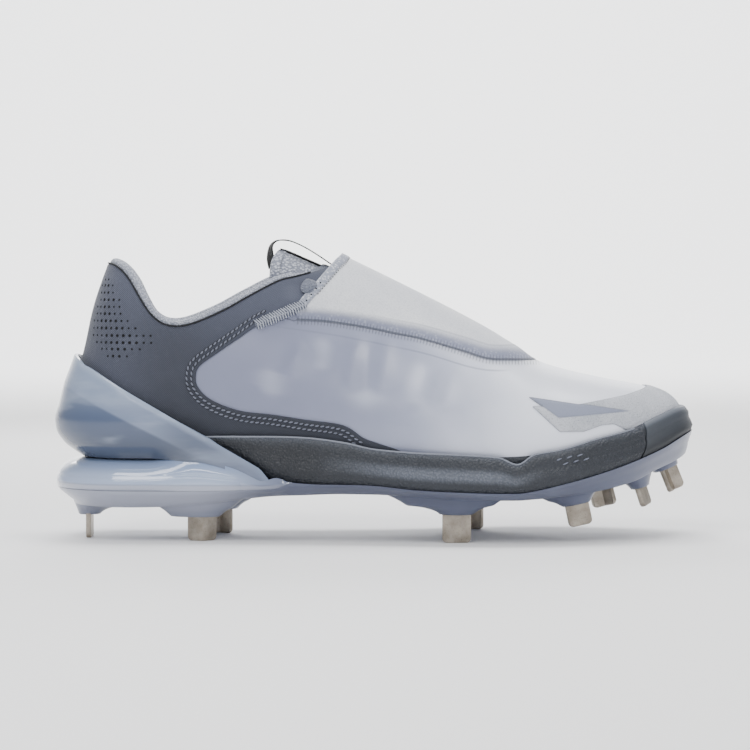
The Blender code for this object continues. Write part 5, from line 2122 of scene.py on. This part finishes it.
lines = []
for outer in (True, False):
    for shift, slant, count in ((0.0007, 1.5, whip["count"]), (-0.0013, -0.8, whip["count"] - 2)):
        t = np.linspace(0.02, 0.98, count)
        a, b = corners(whip["from"], whip["to"])
        base = a + (b - a) * t[:, None]
        across = np.array([-(b - a)[1], (b - a)[0]]) / np.linalg.norm(b - a)
        base = base + across * shift
        points, n = seat(base[:, 0], base[:, 1], outer)
        tip = base + np.array([0.0006 + slant * 0.0004, -0.0010])
        ahead = seat(tip[:, 0], tip[:, 1], outer)[0] - points
        lines.append((points + n * whipLift("threadLift", t), n, ahead))
for outer in (True, False):
    t = np.linspace(-0.02, 1.0, 60)
    a, b = corners(whip["from"], whip["to"])
    base = a + (b - a) * t[:, None]
    points, n = seat(base[:, 0], base[:, 1], outer)
    path = points + n * whipLift("baseLift", t)
    under = tube("whip_base_" + sideName[outer], path, whip["base"], n, 10, 0.22, finishes["lace"])
    details.append((under, "cover"))
details.append((repeat("whip_threads", onPoints, lines, finishes["paleThread"], **whip["thread"]), "cover"))

# one row of stitches in front of the cover's binding, and a few eyelets on it
rearLine = evenly(coverRearPath[coverRearPath[:, 1] > upperLevel(0.74)], 0.001)
bindRow = {
    "from": 0.0041,
    "seat": 0.0014,
    "lift": 0.0015,
    "eyeletLift": 0.00192,
    "stitch": {"Spacing": 0.0017, "Length": 0.00105, "Width": 0.00045, "Height": 0.0003},
    "eyelet": {"Length": 0.0008, "Width": 0.0008, "Height": 0.00016},
    "eyelets": ((0.3945, 0.757), (0.4015, 0.789), (0.4085, 0.820), (0.4150, 0.850)),
}
front = inward(rearLine, -bindRow["from"])
lines = []
for outer in (True, False):
    w = np.linspace(1.5, 2.0, 120) if outer else 4 - np.linspace(1.5, 2.0, 120)
    a = crossing(w, front, bindRow["seat"], 1.05, 2.3)
    points, n = offsetPoint(a, w, bindRow["lift"])
    lines.append((points, n))
stitched = repeat("binding_stitches", onLine, lines, finishes["darkThread"], **bindRow["stitch"])
lines = []
for outer in (True, False):
    x, z = sidePlace(*np.array(bindRow["eyelets"]).T)
    points, n = seat(x, z, outer)
    lines.append((points + n * bindRow["eyeletLift"], n, np.cross(n, np.array([0, 0, 1.0]))))
# the eyelets are dark discs of painted shade
eyelets = repeat("binding_eyelets", discsOnPoints, lines, finishes["hole_shade"], **bindRow["eyelet"])
details += [(stitched, "cover"), (eyelets, "cover")]

# six raised dashes on the side wall near the toe
dashes = {
    "upper": ((0.778, -0.091), (0.794, -0.079), (0.810, -0.069)),
    "lower": ((0.788, -0.114), (0.804, -0.102), (0.820, -0.091)),
    "size": {"Length": 0.0030, "Width": 0.0007, "Height": 0.0007},
}
lines = []
for outer in (True, False):
    points, ups, alongs = [], [], []
    for along, up in dashes["upper"] + dashes["lower"]:
        x, z = (float(v) for v in sidePlace(along, up))
        share = np.array(along)
        low, high = soleHeight("foam", share), soleHeight("side", share)
        inset = footwall((z - low) / (high - low), share)
        y = planY(share, 1.0, outer, float(inset))
        points.append((x, float(y), z))
        ups.append((0, -1.0 if outer else 1.0, 0))
        alongs.append((1.0, 0, 0.42))
    lines.append((points, ups, alongs))
details.append((repeat("wall_dashes", onPoints, lines, finishes["thread"], **dashes["size"]), "side_foam"))
print("stitches and perforations made")


def belong(piece, slotName, *nodes):
    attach(piece, "root")
    if nodes:
        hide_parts(*nodes)


belong(upper, "film", "upper")
belong(panel, "twill", "quarter_panel")
belong(cover, "cover", "lace_cover")
belong(overlay, "grit", "toe_overlay")
belong(midsole, "side_foam", "midsole")
belong(bumper, "bumper", "toe_bumper")
belong(clipPiece, "clip", "heel_clip")
belong(airPiece, "air", "air_unit")
belong(platePiece, "plate", "plate")
belong(lining, "knit", "collar_lining")
belong(piping, "knit")
belong(tonguePiece, "tongue_knit", "tongue")
belong(tongueRim, "tongue_knit")
belong(tongueStrap, "webbing")
belong(loopPiece, "webbing", "pull_loop")
belong(lacePiece, "lace", "lace_bar")
belong(insole, "sock_liner", "insole")
for i, piece in enumerate(blades):
    belong(piece, "metal", f"stud_{i + 1}")
belong(scoopPiece, "side_foam")
belong(fillPiece, "air")
for piece in pipes:
    belong(piece, "side_foam")
for piece, slotName in details:
    belong(piece, slotName)

stageLook = {
    "floor": (0.93, 0.933, 0.94),
    "front": -4.0,
    "back": 2.6,
    "bend": 0.8,
    "wall": 3.6,
    "half": 5.0,
}
floorMesh = bpy.data.meshes.new("floor")
turns, bend = np.linspace(0, math.pi / 2, 24), stageLook["bend"]
bends = [(stageLook["back"] + bend * math.sin(t), bend * (1 - math.cos(t))) for t in turns]
sweepLine = [(stageLook["front"], 0)] + bends + [(stageLook["back"] + bend, stageLook["wall"])]
points = [(x, y, z) for y, z in sweepLine for x in (-stageLook["half"], stageLook["half"])]
strips = [(2 * k, 2 * k + 1, 2 * k + 3, 2 * k + 2) for k in range(len(sweepLine) - 1)]
floorMesh.from_pydata(points, [], strips)
floorMesh.shade_smooth()
floor = bpy.data.objects.new("floor", floorMesh)
bpy.context.scene.collection.objects.link(floor)
floorFinish = Finish("floor", Specular_IOR_Level=0.2, Roughness=0.9)
floorFinish.shader.inputs["Base Color"].default_value = (*stageLook["floor"], 1)
floorMesh.materials.append(floorFinish.material)
floor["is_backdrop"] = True

lights = (
    ("key", (-0.35, -0.75, 0.85), (0.0, 0.0, 0.05), 0.55, 0.55, 8.0),
    ("fill", (0.75, -0.60, 0.45), (0.03, 0.0, 0.05), 0.5, 0.5, 3.0),
    ("top", (0.05, 0.10, 1.00), (0.0, 0.0, 0.05), 0.8, 0.5, 10.0),
    ("back", (-0.2, 0.80, 0.55), (0.0, 0.0, 0.06), 0.6, 0.4, 4.0),
    ("strip", (-0.30, -0.90, 0.30), (-0.10, 0.0, 0.03), 0.50, 0.05, 0.8),
    ("backdrop", (0.0, 1.90, 1.90), (0.0, 3.4, 0.60), 4.0, 1.2, 170.0),
)
for name, spot, goal, wide, high, power in lights:
    data = bpy.data.lights.new(name, "AREA")
    data.shape, data.size, data.size_y, data.energy = "RECTANGLE", wide, high, power
    lamp = bpy.data.objects.new(name, data)
    lamp.location = spot
    aim = mathutils.Vector(goal) - mathutils.Vector(spot)
    lamp.rotation_euler = aim.to_track_quat("-Z", "Y").to_euler()
    bpy.context.scene.collection.objects.link(lamp)
world = bpy.data.worlds.new("studio")
world.use_nodes = True
world.node_tree.nodes["Background"].inputs["Color"].default_value = (1, 1, 1, 1)
world.node_tree.nodes["Background"].inputs["Strength"].default_value = 0.42
bpy.context.scene.world = world

cameraData = bpy.data.cameras.new("camera")
cameraData.lens, cameraData.sensor_width = 36 * 2660 / 750, 36
camera = bpy.data.objects.new("camera", cameraData)
camera.location = (0.0, -1.25, 0.12)
goal = mathutils.Vector((0.0, 0.0, 0.076))
camera.rotation_euler = (goal - camera.location).to_track_quat("-Z", "Y").to_euler()
bpy.context.scene.collection.objects.link(camera)
bpy.context.scene.camera = camera
print("stage, lights and camera ready")

low, high = (list(corner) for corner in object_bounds())
sizes = {"cad": [cadLow, cadHigh], "visual": [low, high]}
json.dumps({key: [[float(c) for c in corner] for corner in pair] for key, pair in sizes.items()})
